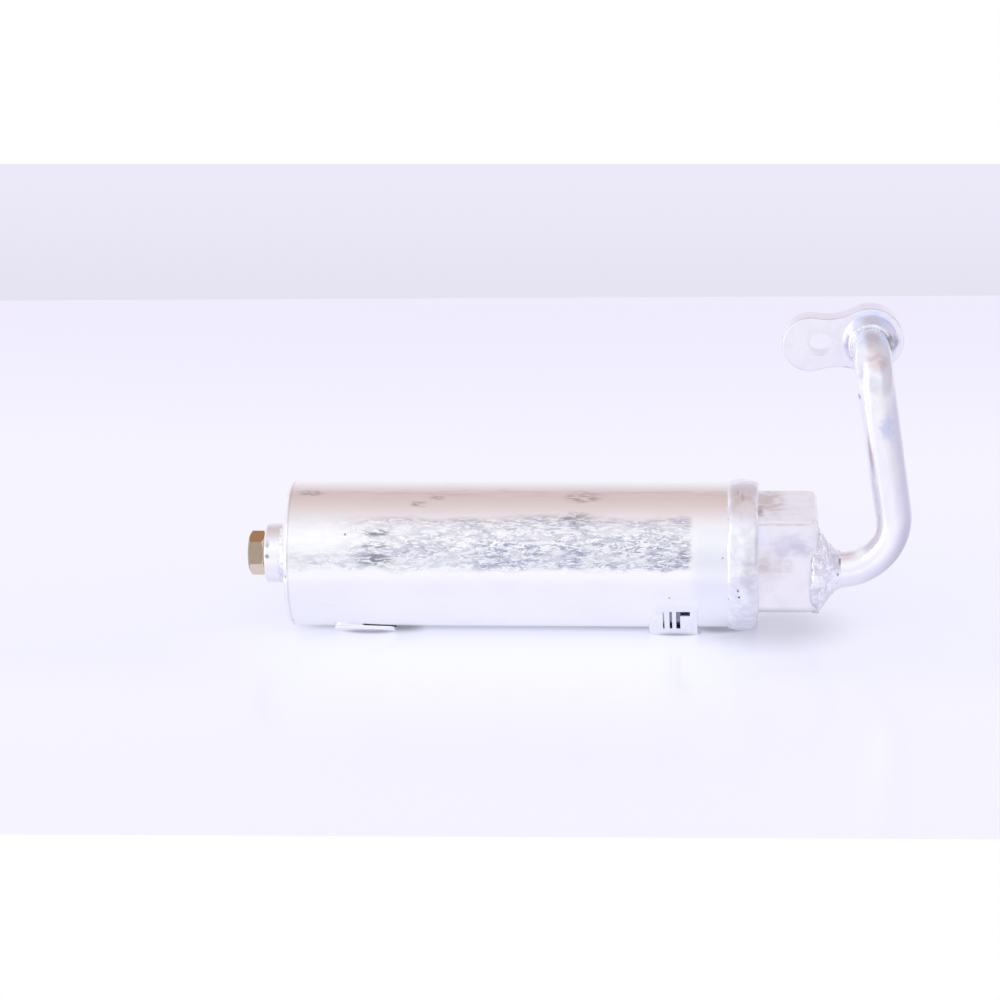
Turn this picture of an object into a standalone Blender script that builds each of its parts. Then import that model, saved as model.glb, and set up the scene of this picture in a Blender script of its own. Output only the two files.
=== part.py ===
"""Car air-conditioning receiver drier, lying on its two brackets as it would on a bench.

The canister's axis runs along X, from its closed end with the fusible plug to the header block and the pipe.
Every length is in metres. A station is a distance along that axis from the canister's closed end, and the
pieces are modelled in these stations with the axis at Z = 0. One empty then carries them all to the part's
own frame, whose origin is on the ground under the middle of the lug bracket.
"""

import math

import bmesh
import bpy
from mathutils import Matrix, Vector

FIT = 0.0003  # gap kept between pieces that seat on, or slide into, each other

# Canister
CANISTER_RADIUS = 0.0254
CANISTER_LENGTH = 0.158
CANISTER_WALL = 0.0016
END_WALL = 0.003
END_CORNER = 0.0018

# Brackets, pressed from one gauge of sheet. Their angles are measured round the canister from straight down
SHEET = 0.0012
LUG_INSET = 0.0232
LUG_LENGTH = 0.0167
LUG_FOLD = math.radians(36)
LUG_TIP = math.radians(64)
LUG_RIM = 0.0064
TAB_LENGTH = 0.014
SLIT_START = 0.0021
SLIT_WIDTH = 0.0005
SLOT_START = 0.0044
SLOT_WIDTH = 0.0009
HOOK_START = 0.0067
HOOK_WIDTH = 0.0014
HOOK_LENGTH = 0.0048
HOOK_ARM = 0.0021
SLOT_FOOT = 0.0042
SLOT_HEAD = 0.0008
TONGUE_STATION = 0.0264
TONGUE_LENGTH = 0.0212
TONGUE_FOLD = math.radians(29)
TONGUE_LIP = 0.0038
TONGUE_SLANT = 0.0046
SHEET_CORNER = 0.003

# Fusible plug, its seal and its boss
BOSS_RADIUS = 0.01045
BOSS_HEIGHT = 0.0085
BOSS_CHAMFER = 0.0008
BOSS_FILLET = 0.0036
HEX_ACROSS_FLATS = 0.0135
HEX_HEIGHT = 0.0058
HEX_FACE = 0.0063
HEX_RIM_ANGLE = math.radians(30)
HEX_TURN = math.radians(20)
SHANK_RADIUS = 0.0042
SHANK_LENGTH = 0.0098
SEAL_WIRE = 0.00075

# Header block, with its collar and the pilot that enters the canister
COLLAR_LENGTH = 0.0054
PILOT_LENGTH = 0.0095
BLOCK_LENGTH = 0.0209
BLOCK_DEPTH = 0.0324
BLOCK_TOP = 0.0181
BLOCK_BOTTOM = 0.0161
BLOCK_ROUND = 0.003
BLOCK_CHAMFER = 0.0009
PORT_INSET = 0.0098
PORT_RADIUS = 0.0065
PORT_CHAMFER = 0.0008
BOLT_SPACING = 0.016
BOLT_RADIUS = 0.00265
BOLT_DEPTH = 0.012

# Girth weld over the joint of the canister and the header
GIRTH_LAP = 0.0046
GIRTH_LENGTH = 0.0106
GIRTH_HEIGHT = 0.0011
GIRTH_FLANK = 0.0019

# Pick-up tube and the charge round it
TUBE_RADIUS = 0.004
TUBE_WALL = 0.0009
TUBE_SIDE = 0.0062
TUBE_RISE = 0.0052
TUBE_FOOT = 0.0105
SCREEN_START = 0.0045
SCREEN_LENGTH = 0.009
SCREEN_WALL = 0.0006
SCREEN_HOLE = 0.0008
SCREEN_ROWS = (0.3, 0.7)  # shares of the way from the screen's floor to the tube's foot
RETAINER_PLATE = 0.0012
RETAINER_WALL = 0.001
LOWER_SKIRT = 0.014
UPPER_SKIRT = 0.006
PERFORATION = 0.0015
PERFORATION_RINGS = 2
PERFORATION_TURN = 0.3  # share of a step by which each ring of holes is turned, clear of the mesh's seams
PAD_THICKNESS = 0.0045
SPRING_LENGTH = 0.0285
SPRING_WIRE = 0.0009
SPRING_INSET = 0.0048
SPRING_TURNS = 3

# Inlet pipe. It leaves the block in front of the axis and below it
PIPE_RADIUS = 0.00635
PIPE_WALL = 0.0013
PIPE_FRONT = 0.0044
PIPE_DROP = 0.0038
SOCKET_DEPTH = 0.0095
PIPE_START = 0.0076
LOWER_BEND = 0.0185
PIPE_LEAN = math.radians(8.2)
PIPE_RISE = 0.0423
UPPER_BEND = 0.014
BEND_FLATTENING = 0.07
PASSAGE_RADIUS = 0.0035

# Weld cone where the pipe enters the block
WELD_RADIUS = 0.015
WELD_LENGTH = 0.0077
WELD_OVERLAP = 0.0028
WELD_TOE = 0.0003
WELD_HOLLOW = 1.4

# Peanut flange on the pipe's far end, its neck, and the bead, nose and seal of the pipe behind it
FLANGE_THICKNESS = 0.0081
FLANGE_TILT = math.radians(3.8)
FLANGE_EDGE = 0.0006
FLANGE_PITCH = 0.0171
FLANGE_HOLE = 0.00425
PIPE_LOBE = 0.0116
BOLT_LOBE = 0.0097
BOLT_LOBE_SHIFT = 0.0035
FLANGE_WAIST = 0.001
NECK_RADIUS = 0.0095
NECK_TIP = 0.0074
NECK_HEIGHT = 0.004
BRAZE_WIRE = 0.0006
BEAD_RADIUS = 0.0082
BEAD_LENGTH = 0.0014
NOSE_RADIUS = 0.0056
NOSE_LENGTH = 0.0095
NOSE_WALL = 0.0006
SEAL_RING_WIRE = 0.0009

# Facets round a piece
CANISTER_FACETS = 64
RING_FACETS = 36
PIPE_FACETS = 24
HOLE_FACETS = 20
PERFORATION_FACETS = 8

# Places that follow from the sizes above
AXIS_HEIGHT = CANISTER_RADIUS + FIT + SHEET
BORE_RADIUS = CANISTER_RADIUS - CANISTER_WALL
COLLAR_STATION = CANISTER_LENGTH + FIT
PILOT_STATION = CANISTER_LENGTH - PILOT_LENGTH
BLOCK_STATION = COLLAR_STATION + COLLAR_LENGTH
BLOCK_END = BLOCK_STATION + BLOCK_LENGTH
PORT_STATION = BLOCK_STATION + PORT_INSET
LUG_STATION = CANISTER_LENGTH - LUG_INSET
GIRTH_START = CANISTER_LENGTH - GIRTH_LAP
SOCKET_STATION = BLOCK_END - SOCKET_DEPTH
PIPE_CENTRE = (-PIPE_FRONT, -PIPE_DROP)
TUBE_CENTRE = (TUBE_SIDE, TUBE_RISE)
TUBE_END = PORT_STATION - PORT_RADIUS
LOWER_PLATE = END_WALL + END_CORNER + LOWER_SKIRT
LOWER_PAD = LOWER_PLATE + RETAINER_PLATE + FIT
CHARGE_STATION = LOWER_PAD + PAD_THICKNESS + FIT
SPRING_END = PILOT_STATION - FIT
SPRING_START = SPRING_END - SPRING_LENGTH
SPRING_RADIUS = BORE_RADIUS - SPRING_INSET
UPPER_PLATE = SPRING_START - FIT - RETAINER_PLATE
UPPER_PAD = UPPER_PLATE - FIT - PAD_THICKNESS
CHARGE_LENGTH = UPPER_PAD - FIT - CHARGE_STATION
BRAZE_RUN = 2 * FIT + 2 * BRAZE_WIRE
FLANGE_FRONT = UPPER_BEND - PIPE_FRONT + BRAZE_RUN + NECK_HEIGHT
FLANGE_BACK = FLANGE_FRONT + FLANGE_THICKNESS

# A prism is drawn flat and extruded along +Z. These turn it to run along X, or towards the viewer
ALONG_X = Matrix(((0, 0, 1, 0), (1, 0, 0, 0), (0, 1, 0, 0), (0, 0, 0, 1)))
TO_FRONT = Matrix.Rotation(math.pi / 2, 4, "X")
UP = Matrix.Identity(4)


def clear_scene():
    for obj in list(bpy.data.objects):
        bpy.data.objects.remove(obj, do_unlink=True)


def make_material(name, colour, roughness, metallic):
    material = bpy.data.materials.new(name)
    material.use_nodes = True
    shader = material.node_tree.nodes["Principled BSDF"]
    shader.inputs["Base Color"].default_value = (*colour, 1.0)
    shader.inputs["Roughness"].default_value = roughness
    shader.inputs["Metallic"].default_value = metallic
    material.diffuse_color = (*colour, 1.0)
    return material


def make_frame():
    """The empty that sets the canister's stations over the part's origin."""
    frame = bpy.data.objects.new("receiver_drier", None)
    frame.location = (-LUG_STATION, 0.0, AXIS_HEIGHT)
    bpy.context.scene.collection.objects.link(frame)
    return frame


def add_object(name, bm, material=None, parent=None):
    """Turns a bmesh into an object under the frame, its faces outwards, shaded smooth between sharp edges."""
    bmesh.ops.recalc_face_normals(bm, faces=bm.faces)
    if bm.calc_volume(signed=True) < 0:
        bmesh.ops.reverse_faces(bm, faces=bm.faces)
    mesh = bpy.data.meshes.new(name)
    bm.to_mesh(mesh)
    bm.free()
    mesh.shade_smooth()
    mesh.set_sharp_from_angle(angle=math.radians(35))
    obj = bpy.data.objects.new(name, mesh)
    obj.parent = parent or frame
    if material:
        mesh.materials.append(material)
    bpy.context.scene.collection.objects.link(obj)
    return obj


def apply_tools(target, operation, *tools):
    """Gives the target a Boolean for each tool, and leaves the tools out of the model."""
    for tool in tools:
        tool.hide_render = True
        tool.display_type = "WIRE"
        modifier = target.modifiers.new(tool.name, "BOOLEAN")
        modifier.operation = operation
        modifier.solver = "EXACT"
        modifier.object = tool


def turned_mesh(profile, facets, centre=(0.0, 0.0)):
    """A closed (station, radius) outline turned about a line along X at centre, given as (y, z)."""
    bm = bmesh.new()
    verts = [bm.verts.new((station, 0.0, radius)) for station, radius in profile]
    for index, vert in enumerate(verts):
        following = verts[(index + 1) % len(verts)]
        if vert.co.z > 0 or following.co.z > 0:
            bm.edges.new((vert, following))
    bmesh.ops.spin(
        bm,
        geom=bm.verts[:] + bm.edges[:],
        axis=(1, 0, 0),
        cent=(0, 0, 0),
        angle=math.tau,
        steps=facets,
        use_merge=True,
    )
    bmesh.ops.remove_doubles(bm, verts=bm.verts, dist=1e-7)
    bmesh.ops.translate(bm, verts=bm.verts, vec=(0.0, *centre))
    return bm


def turned(name, profile, material=None, facets=CANISTER_FACETS, centre=(0.0, 0.0)):
    return add_object(name, turned_mesh(profile, facets, centre), material)


def prism_mesh(outline, depth, turn=UP, start=(0.0, 0.0, 0.0)):
    """A flat outline extruded by depth, turned, and set down at start."""
    bm = bmesh.new()
    face = bm.faces.new([bm.verts.new((x, y, 0.0)) for x, y in outline])
    extruded = bmesh.ops.extrude_face_region(bm, geom=[face])
    moved = [item for item in extruded["geom"] if isinstance(item, bmesh.types.BMVert)]
    bmesh.ops.translate(bm, verts=moved, vec=(0.0, 0.0, depth))
    bmesh.ops.transform(bm, verts=bm.verts, matrix=Matrix.Translation(start) @ turn)
    return bm


def box_mesh(low, high):
    middle = (Vector(high) + Vector(low)) / 2
    size = Vector(high) - Vector(low)
    bm = bmesh.new()
    bmesh.ops.create_cube(bm, size=1.0, matrix=Matrix.Translation(middle) @ Matrix.Diagonal((*size, 1.0)))
    return bm


def rods_mesh(starts, direction, radius, length, end_radius=None, facets=HOLE_FACETS):
    """One plain rod, or cone, from each start along direction."""
    axis = Vector(direction).normalized()
    turn = axis.to_track_quat("Z", "Y").to_matrix().to_4x4()
    bm = bmesh.new()
    for start in starts:
        bmesh.ops.create_cone(
            bm,
            cap_ends=True,
            segments=facets,
            radius1=radius,
            radius2=radius if end_radius is None else end_radius,
            depth=length,
            matrix=Matrix.Translation(Vector(start) + axis * length / 2) @ turn,
        )
    return bm


def skin_mesh(rings):
    """Joins rings of equal point counts into one closed skin, each to the next and the last to the first."""
    bm = bmesh.new()
    made = [[bm.verts.new(point) for point in ring] for ring in rings]
    count = len(rings[0])
    for first, second in zip(made, made[1:] + made[:1]):
        for i in range(count):
            j = (i + 1) % count
            bm.faces.new((first[i], first[j], second[j], second[i]))
    return bm


def arc(centre, radius, start, end, steps):
    """Points from angle start to angle end, both included."""
    angles = [start + (end - start) * i / steps for i in range(steps + 1)]
    return [(centre[0] + radius * math.cos(a), centre[1] + radius * math.sin(a)) for a in angles]


def wire_section(station, radius, wire, steps=8):
    """The round section of a ring of wire, as a closed (station, radius) outline."""
    return arc((station, radius), wire, 0.0, math.tau * (1 - 1 / steps), steps - 1)


def rounded(corners, radius, steps=4):
    """An outline with each of its corners turned into an arc."""
    outline = []
    for index, corner in enumerate(corners):
        here = Vector(corner)
        back = (Vector(corners[index - 1]) - here).normalized()
        onward = (Vector(corners[(index + 1) % len(corners)]) - here).normalized()
        half = back.angle(onward) / 2
        centre = here + (back + onward).normalized() * radius / math.sin(half)
        first = here + back * radius / math.tan(half) - centre
        last = here + onward * radius / math.tan(half) - centre
        sweep = first.angle_signed(last)
        for step in range(steps + 1):
            outline.append(tuple(centre + Matrix.Rotation(-sweep * step / steps, 2) @ first))
    return outline


def make_canister():
    hole = SHANK_RADIUS + FIT
    inner_station = END_WALL + END_CORNER
    outside = arc((END_CORNER, CANISTER_RADIUS - END_CORNER), END_CORNER, math.pi, math.pi / 2, 5)
    inside = arc((inner_station, BORE_RADIUS - END_CORNER), END_CORNER, math.pi / 2, math.pi, 3)
    rim = [(CANISTER_LENGTH, CANISTER_RADIUS), (CANISTER_LENGTH, BORE_RADIUS)]
    turned("canister_shell", [(0.0, hole), *outside, *rim, *inside, (END_WALL, hole)], aluminium)


def make_girth_weld():
    """A bead with rounded flanks round the canister's open end and the header's collar."""
    seat = CANISTER_RADIUS + FIT
    crown = CANISTER_RADIUS + GIRTH_HEIGHT
    end = GIRTH_START + GIRTH_LENGTH
    rise = [
        (GIRTH_START + GIRTH_FLANK * (1 - across), seat + (crown - seat) * up)
        for across, up in arc((0.0, 0.0), 1.0, 0.0, math.pi / 2, 4)
    ]
    fall = [(GIRTH_START + end - station, radius) for station, radius in reversed(rise)]
    turned("girth_weld", rise + fall, weld_metal)


def make_plug_boss():
    """A threaded boss with a groove for the seal in its face."""
    bore = SHANK_RADIUS + FIT
    groove = SHANK_RADIUS + 3 * FIT + 2 * SEAL_WIRE
    groove_floor = 2 * (SEAL_WIRE + FIT) - BOSS_HEIGHT
    profile = [
        (-BOSS_HEIGHT, groove),
        (-BOSS_HEIGHT, BOSS_RADIUS - BOSS_CHAMFER),
        (BOSS_CHAMFER - BOSS_HEIGHT, BOSS_RADIUS),
        (-FIT, BOSS_RADIUS),
        (-FIT, bore),
        (groove_floor, bore),
        (groove_floor, groove),
    ]
    turned("plug_boss", profile, aluminium, RING_FACETS)
    inner = BOSS_RADIUS + FIT
    hollow = arc((-FIT - BOSS_FILLET, inner + BOSS_FILLET), BOSS_FILLET - FIT, 0.0, -math.pi / 2, 5)
    profile = [(-FIT, inner), (-FIT, inner + BOSS_FILLET), *hollow, (-FIT - BOSS_FILLET, inner)]
    turned("boss_weld", profile, weld_metal, RING_FACETS)


def make_plug():
    """A hexagon with both its rims turned down, on the shank that carries the thread."""
    corner = HEX_ACROSS_FLATS / math.sqrt(3)
    under = -BOSS_HEIGHT - FIT
    outer = under - HEX_HEIGHT
    outline = arc((0.0, 0.0), corner, math.pi / 2, math.pi / 2 + math.tau * 5 / 6, 5)
    hexagon = prism_mesh(outline, HEX_HEIGHT, Matrix.Rotation(-HEX_TURN, 4, "X") @ ALONG_X, (outer, 0, 0))
    plug = add_object("fusible_plug", hexagon, brass)
    wide = corner + FIT
    slope = (wide - HEX_FACE) * math.tan(HEX_RIM_ANGLE)
    rims = [
        (outer - FIT, 0.0),
        (outer - FIT, HEX_FACE - FIT / math.tan(HEX_RIM_ANGLE)),
        (outer + slope, wide),
        (under - slope, wide),
        (under + FIT, HEX_FACE - FIT / math.tan(HEX_RIM_ANGLE)),
        (under + FIT, 0.0),
    ]
    apply_tools(plug, "INTERSECT", turned("plug_rims", rims, facets=RING_FACETS))
    shank = [(under - FIT, 0.0), (under - FIT, SHANK_RADIUS)]
    tip = under + SHANK_LENGTH
    shank += [(tip - FIT, SHANK_RADIUS), (tip, SHANK_RADIUS - FIT), (tip, 0.0)]
    apply_tools(plug, "UNION", turned("plug_shank", shank, facets=HOLE_FACETS))
    seal_radius = SHANK_RADIUS + 2 * FIT + SEAL_WIRE
    seal_station = SEAL_WIRE + FIT - BOSS_HEIGHT
    turned("plug_seal", wire_section(seal_station, seal_radius, SEAL_WIRE), rubber, RING_FACETS)


def block_mesh(grow=0.0):
    """The header's milled block, its lower and end edges rounded and its top edges chamfered."""
    side = BLOCK_DEPTH / 2 + grow
    end = BLOCK_END + grow
    top = BLOCK_TOP + grow
    bm = box_mesh((BLOCK_STATION - FIT, -side, -BLOCK_BOTTOM - grow), (end, side, top))

    def at_end(edge):
        return all(abs(vert.co.x - end) < FIT for vert in edge.verts)

    def at_top(edge):
        return all(abs(vert.co.z - top) < FIT for vert in edge.verts)

    def at_start(edge):
        return all(vert.co.x < BLOCK_STATION for vert in edge.verts)

    lower = [e for e in bm.edges if all(v.co.z < 0 for v in e.verts) and not at_start(e)]
    uprights = [e for e in bm.edges if at_end(e) and abs(e.verts[0].co.z - e.verts[1].co.z) > BLOCK_TOP]
    bmesh.ops.bevel(
        bm,
        geom=lower + uprights,
        offset=BLOCK_ROUND + grow,
        segments=4,
        profile=0.5,
        affect="EDGES",
        clamp_overlap=True,
    )
    rim = [e for e in bm.edges if at_top(e) and not at_start(e) and len(e.link_faces) == 2]
    bmesh.ops.bevel(bm, geom=rim, offset=BLOCK_CHAMFER, segments=1, affect="EDGES", clamp_overlap=True)
    return bm


def make_header():
    """Turned collar and pilot with the milled block, bored for the pipe, the tube and the outlet port."""
    pilot = BORE_RADIUS - FIT
    profile = [
        (PILOT_STATION, 0.0),
        (PILOT_STATION, pilot - BLOCK_CHAMFER),
        (PILOT_STATION + BLOCK_CHAMFER, pilot),
        (COLLAR_STATION, pilot),
        (COLLAR_STATION, CANISTER_RADIUS),
        (BLOCK_STATION, CANISTER_RADIUS),
        (BLOCK_STATION, 0.0),
    ]
    header = turned("header_block", profile, aluminium)
    apply_tools(header, "UNION", add_object("header_billet", block_mesh()))

    over = PILOT_LENGTH / 2  # how far a drill starts outside the metal
    back = BLOCK_DEPTH / 2
    along = (1, 0, 0)
    tube_mouth = (PILOT_STATION - over, *TUBE_CENTRE)
    tube = rods_mesh([tube_mouth], along, TUBE_RADIUS + FIT, PORT_STATION - PILOT_STATION + over)
    socket_floor = (SOCKET_STATION, *PIPE_CENTRE)
    socket = rods_mesh([socket_floor], along, PIPE_RADIUS + FIT, SOCKET_DEPTH + over, facets=PIPE_FACETS)
    passage_mouth = (PILOT_STATION - over, *PIPE_CENTRE)
    passage = rods_mesh([passage_mouth], along, PASSAGE_RADIUS, SOCKET_STATION - PILOT_STATION + 2 * over)
    port_mouth = (PORT_STATION, back + over, TUBE_RISE)
    port = rods_mesh([port_mouth], (0, -1, 0), PORT_RADIUS, back + over - TUBE_SIDE)
    bevel = rods_mesh(
        [(PORT_STATION, back + PORT_CHAMFER, TUBE_RISE)],
        (0, -1, 0),
        PORT_RADIUS + 2 * PORT_CHAMFER,
        2 * PORT_CHAMFER,
        PORT_RADIUS,
    )
    bolt_mouth = (PORT_STATION, back + over, TUBE_RISE - BOLT_SPACING)
    bolt = rods_mesh([bolt_mouth], (0, -1, 0), BOLT_RADIUS, BOLT_DEPTH + over)
    drills = {
        "tube_bore": tube,
        "pipe_socket": socket,
        "inlet_passage": passage,
        "outlet_port": port,
        "outlet_port_chamfer": bevel,
        "outlet_bolt_hole": bolt,
    }
    apply_tools(header, "DIFFERENCE", *(add_object(name, mesh) for name, mesh in drills.items()))


def make_pickup_tube():
    bore = TUBE_RADIUS - TUBE_WALL
    profile = [(TUBE_FOOT, bore), (TUBE_FOOT, TUBE_RADIUS), (TUBE_END, TUBE_RADIUS), (TUBE_END, bore)]
    turned("pickup_tube", profile, aluminium, HOLE_FACETS, TUBE_CENTRE)


def make_inlet_screen():
    """A perforated thimble over the tube's foot."""
    inner = TUBE_RADIUS + FIT
    outer = inner + SCREEN_WALL
    end = SCREEN_START + SCREEN_LENGTH
    floor = SCREEN_START + SCREEN_WALL
    outside = [(SCREEN_START, 0.0), (SCREEN_START, outer), (end, outer)]
    profile = [*outside, (end, inner), (floor, inner), (floor, 0.0)]
    screen = turned("inlet_screen", profile, steel, HOLE_FACETS, TUBE_CENTRE)
    rows = [floor + (TUBE_FOOT - floor) * share for share in SCREEN_ROWS]
    for name, direction in (("screen_holes_across", (0, 1, 0)), ("screen_holes_up", (0, 0, 1))):
        starts = [Vector((row, *TUBE_CENTRE)) - Vector(direction) * 2 * outer for row in rows]
        holes = rods_mesh(starts, direction, SCREEN_HOLE, 4 * outer, facets=PERFORATION_FACETS)
        apply_tools(screen, "DIFFERENCE", add_object(name, holes))


def perforations(station, length):
    """Rods for the holes of a retainer, in rings, leaving out those that the pick-up tube would meet."""
    starts = []
    clear = TUBE_RADIUS + FIT + RETAINER_PLATE + PERFORATION
    for ring in range(1, PERFORATION_RINGS + 1):
        radius = BORE_RADIUS * ring / (PERFORATION_RINGS + 1)
        count = 6 * ring
        for step in range(count):
            angle = math.tau * (step + PERFORATION_TURN) / count
            place = Vector((radius * math.cos(angle), radius * math.sin(angle)))
            if (place - Vector(TUBE_CENTRE)).length > clear:
                starts.append((station, *place))
    return rods_mesh(starts, (1, 0, 0), PERFORATION, length, facets=PERFORATION_FACETS)


def make_retainer(name, plate_station, skirt_end):
    """A pressed cup whose perforated floor lies at plate_station and whose skirt reaches skirt_end."""
    outer = BORE_RADIUS - FIT
    inner = outer - RETAINER_WALL
    upward = skirt_end > plate_station
    back = plate_station if upward else plate_station + RETAINER_PLATE
    floor = plate_station + RETAINER_PLATE if upward else plate_station
    outside = [(back, 0.0), (back, outer), (skirt_end, outer)]
    profile = [*outside, (skirt_end, inner), (floor, inner), (floor, 0.0)]
    retainer = turned(name, profile, steel, RING_FACETS)
    length = 3 * RETAINER_PLATE
    start = plate_station - RETAINER_PLATE
    apply_tools(retainer, "DIFFERENCE", add_object(f"{name}_holes", perforations(start, length)))
    bore = rods_mesh([(start, *TUBE_CENTRE)], (1, 0, 0), TUBE_RADIUS + FIT, length)
    apply_tools(retainer, "DIFFERENCE", add_object(f"{name}_bore", bore))


def make_filling(name, station, length, material):
    """A disc or block that fills the bore, with a hole for the pick-up tube."""
    radius = BORE_RADIUS - FIT
    profile = [(station, 0.0), (station, radius), (station + length, radius), (station + length, 0.0)]
    filling = turned(name, profile, material, RING_FACETS)
    bore = rods_mesh([(station - length, *TUBE_CENTRE)], (1, 0, 0), TUBE_RADIUS + FIT, 3 * length)
    apply_tools(filling, "DIFFERENCE", add_object(f"{name}_bore", bore))


def make_spring():
    """A coil of round wire whose ends lie flat against the retainer and the header."""
    first = SPRING_START + SPRING_WIRE
    rise = SPRING_END - SPRING_WIRE - first
    steps = SPRING_TURNS * 20
    rings = []
    for step in range(steps + 1):
        share = step / steps
        angle = math.tau * SPRING_TURNS * share
        station = first + rise * (share - math.sin(math.tau * share) / math.tau)
        outward = Vector((0.0, math.cos(angle), math.sin(angle)))
        centre = Vector((station, 0.0, 0.0)) + SPRING_RADIUS * outward
        section = arc((0.0, 0.0), SPRING_WIRE, 0.0, math.tau * 7 / 8, 7)
        rings.append([centre + Vector((x, 0.0, 0.0)) + y * outward for x, y in section])
    bm = bmesh.new()
    made = [[bm.verts.new(point) for point in ring] for ring in rings]
    for before, after in zip(made, made[1:]):
        for i in range(len(before)):
            j = (i + 1) % len(before)
            bm.faces.new((before[i], before[j], after[j], after[i]))
    bm.faces.new(made[0])
    bm.faces.new(made[-1])
    add_object("charge_spring", bm, steel)


def pipe_places():
    """Each place along the pipe: its centre, two directions across it, and the flattening along each."""
    front = -PIPE_FRONT
    across = Vector((0.0, 1.0, 0.0))
    places = [(Vector((SOCKET_STATION + FIT, front, -PIPE_DROP)), Vector((0, 0, -1)), across, 1.0, 1.0)]

    bend_start = BLOCK_END + PIPE_START
    pivot = Vector((bend_start, front, LOWER_BEND - PIPE_DROP))
    sweep = math.pi / 2 + PIPE_LEAN
    steps = 13
    for step in range(steps + 1):
        turn = sweep * step / steps
        outward = Vector((math.sin(turn), 0.0, -math.cos(turn)))
        flat = BEND_FLATTENING * math.sin(math.pi * step / steps)
        places.append((pivot + LOWER_BEND * outward, outward, across, 1 - flat, 1 + flat / 2))

    upward = Vector((-math.sin(PIPE_LEAN), 0.0, math.cos(PIPE_LEAN)))
    side = Vector((math.cos(PIPE_LEAN), 0.0, math.sin(PIPE_LEAN)))
    pivot = places[-1][0] + PIPE_RISE * upward + UPPER_BEND * across
    steps = 9
    for step in range(steps + 1):
        turn = math.pi / 2 * step / steps
        outward = math.sin(turn) * upward - math.cos(turn) * across
        flat = BEND_FLATTENING * math.sin(math.pi * step / steps)
        places.append((pivot + UPPER_BEND * outward, side, -outward, 1 + flat / 2, 1 - flat))
    return places


def ring_of(place, radius):
    centre, first, second, first_scale, second_scale = place
    ring = []
    for x, y in arc((0.0, 0.0), radius, 0.0, math.tau * (1 - 1 / PIPE_FACETS), PIPE_FACETS - 1):
        ring.append(centre + first * x * first_scale + second * y * second_scale)
    return ring


def beyond(place, depth):
    """The same place moved straight back until it lies at the given depth."""
    centre = Vector((place[0].x, depth, place[0].z))
    return (centre, *place[1:])


def make_pipe():
    """Two bends from the block to the flange, then the upset bead and the nose that enters its mate."""
    places = pipe_places()
    last = places[-1]
    bead = FLANGE_BACK + FIT
    nose = bead + BEAD_LENGTH
    tip = nose + NOSE_LENGTH
    end_steps = [
        (bead, PIPE_RADIUS),
        (bead, BEAD_RADIUS),
        (nose, BEAD_RADIUS),
        (nose, NOSE_RADIUS),
        (tip - FIT, NOSE_RADIUS),
        (tip, NOSE_RADIUS - FIT),
    ]
    rings = [ring_of(place, PIPE_RADIUS) for place in places]
    rings += [ring_of(beyond(last, depth), radius) for depth, radius in end_steps]
    bore = PIPE_RADIUS - PIPE_WALL
    rings.append(ring_of(beyond(last, tip), NOSE_RADIUS - NOSE_WALL))
    rings += [ring_of(place, bore) for place in reversed(places)]
    add_object("inlet_pipe", skin_mesh(rings), aluminium)
    return last[0]


def make_pipe_weld():
    """A cone of weld on the block's end that also laps over the block's front and lower edges."""
    bore = PIPE_RADIUS + FIT
    start = BLOCK_END - WELD_OVERLAP
    toe = bore + WELD_TOE
    shoulder = WELD_OVERLAP / 2
    profile = [(start, bore), (start, WELD_RADIUS - shoulder), (start + shoulder, WELD_RADIUS)]
    steps = 6
    for step in range(steps + 1):
        height = (1 - step / steps) ** WELD_HOLLOW
        station = BLOCK_END + FIT + WELD_LENGTH * step / steps
        profile.append((station, toe + (WELD_RADIUS - toe) * height))
    profile.append((BLOCK_END + FIT + WELD_LENGTH, bore))
    weld = turned("pipe_weld", profile, weld_metal, RING_FACETS, PIPE_CENTRE)
    apply_tools(weld, "DIFFERENCE", add_object("weld_seat", block_mesh(FIT)))


def peanut_outline():
    """Two lobes joined by a hollow waist, drawn with the pipe at the origin and the bolt to its left."""
    spread = FLANGE_PITCH + BOLT_LOBE_SHIFT
    waist = BOLT_LOBE - FLANGE_WAIST

    def reach(lobe, hollow):
        return math.sqrt(lobe**2 - waist**2 + 2 * hollow * (lobe - waist))

    short, long = 0.0, 1.0
    for _ in range(60):
        hollow = (short + long) / 2
        if reach(PIPE_LOBE, hollow) + reach(BOLT_LOBE, hollow) < spread:
            short = hollow
        else:
            long = hollow
    centre_x = -reach(PIPE_LOBE, hollow)
    centre_y = waist + hollow
    pipe_turn = math.atan2(centre_y, centre_x)
    bolt_turn = math.atan2(centre_y, centre_x + spread)
    outline = arc((0.0, 0.0), PIPE_LOBE, -pipe_turn, pipe_turn, 26)
    upper = arc((centre_x, centre_y), hollow, pipe_turn - math.pi, bolt_turn - math.pi, 6)
    outline += upper[1:-1]
    outline += arc((-spread, 0.0), BOLT_LOBE, bolt_turn, math.tau - bolt_turn, 22)
    outline += [(x, -y) for x, y in reversed(upper[1:-1])]
    return outline


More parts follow.
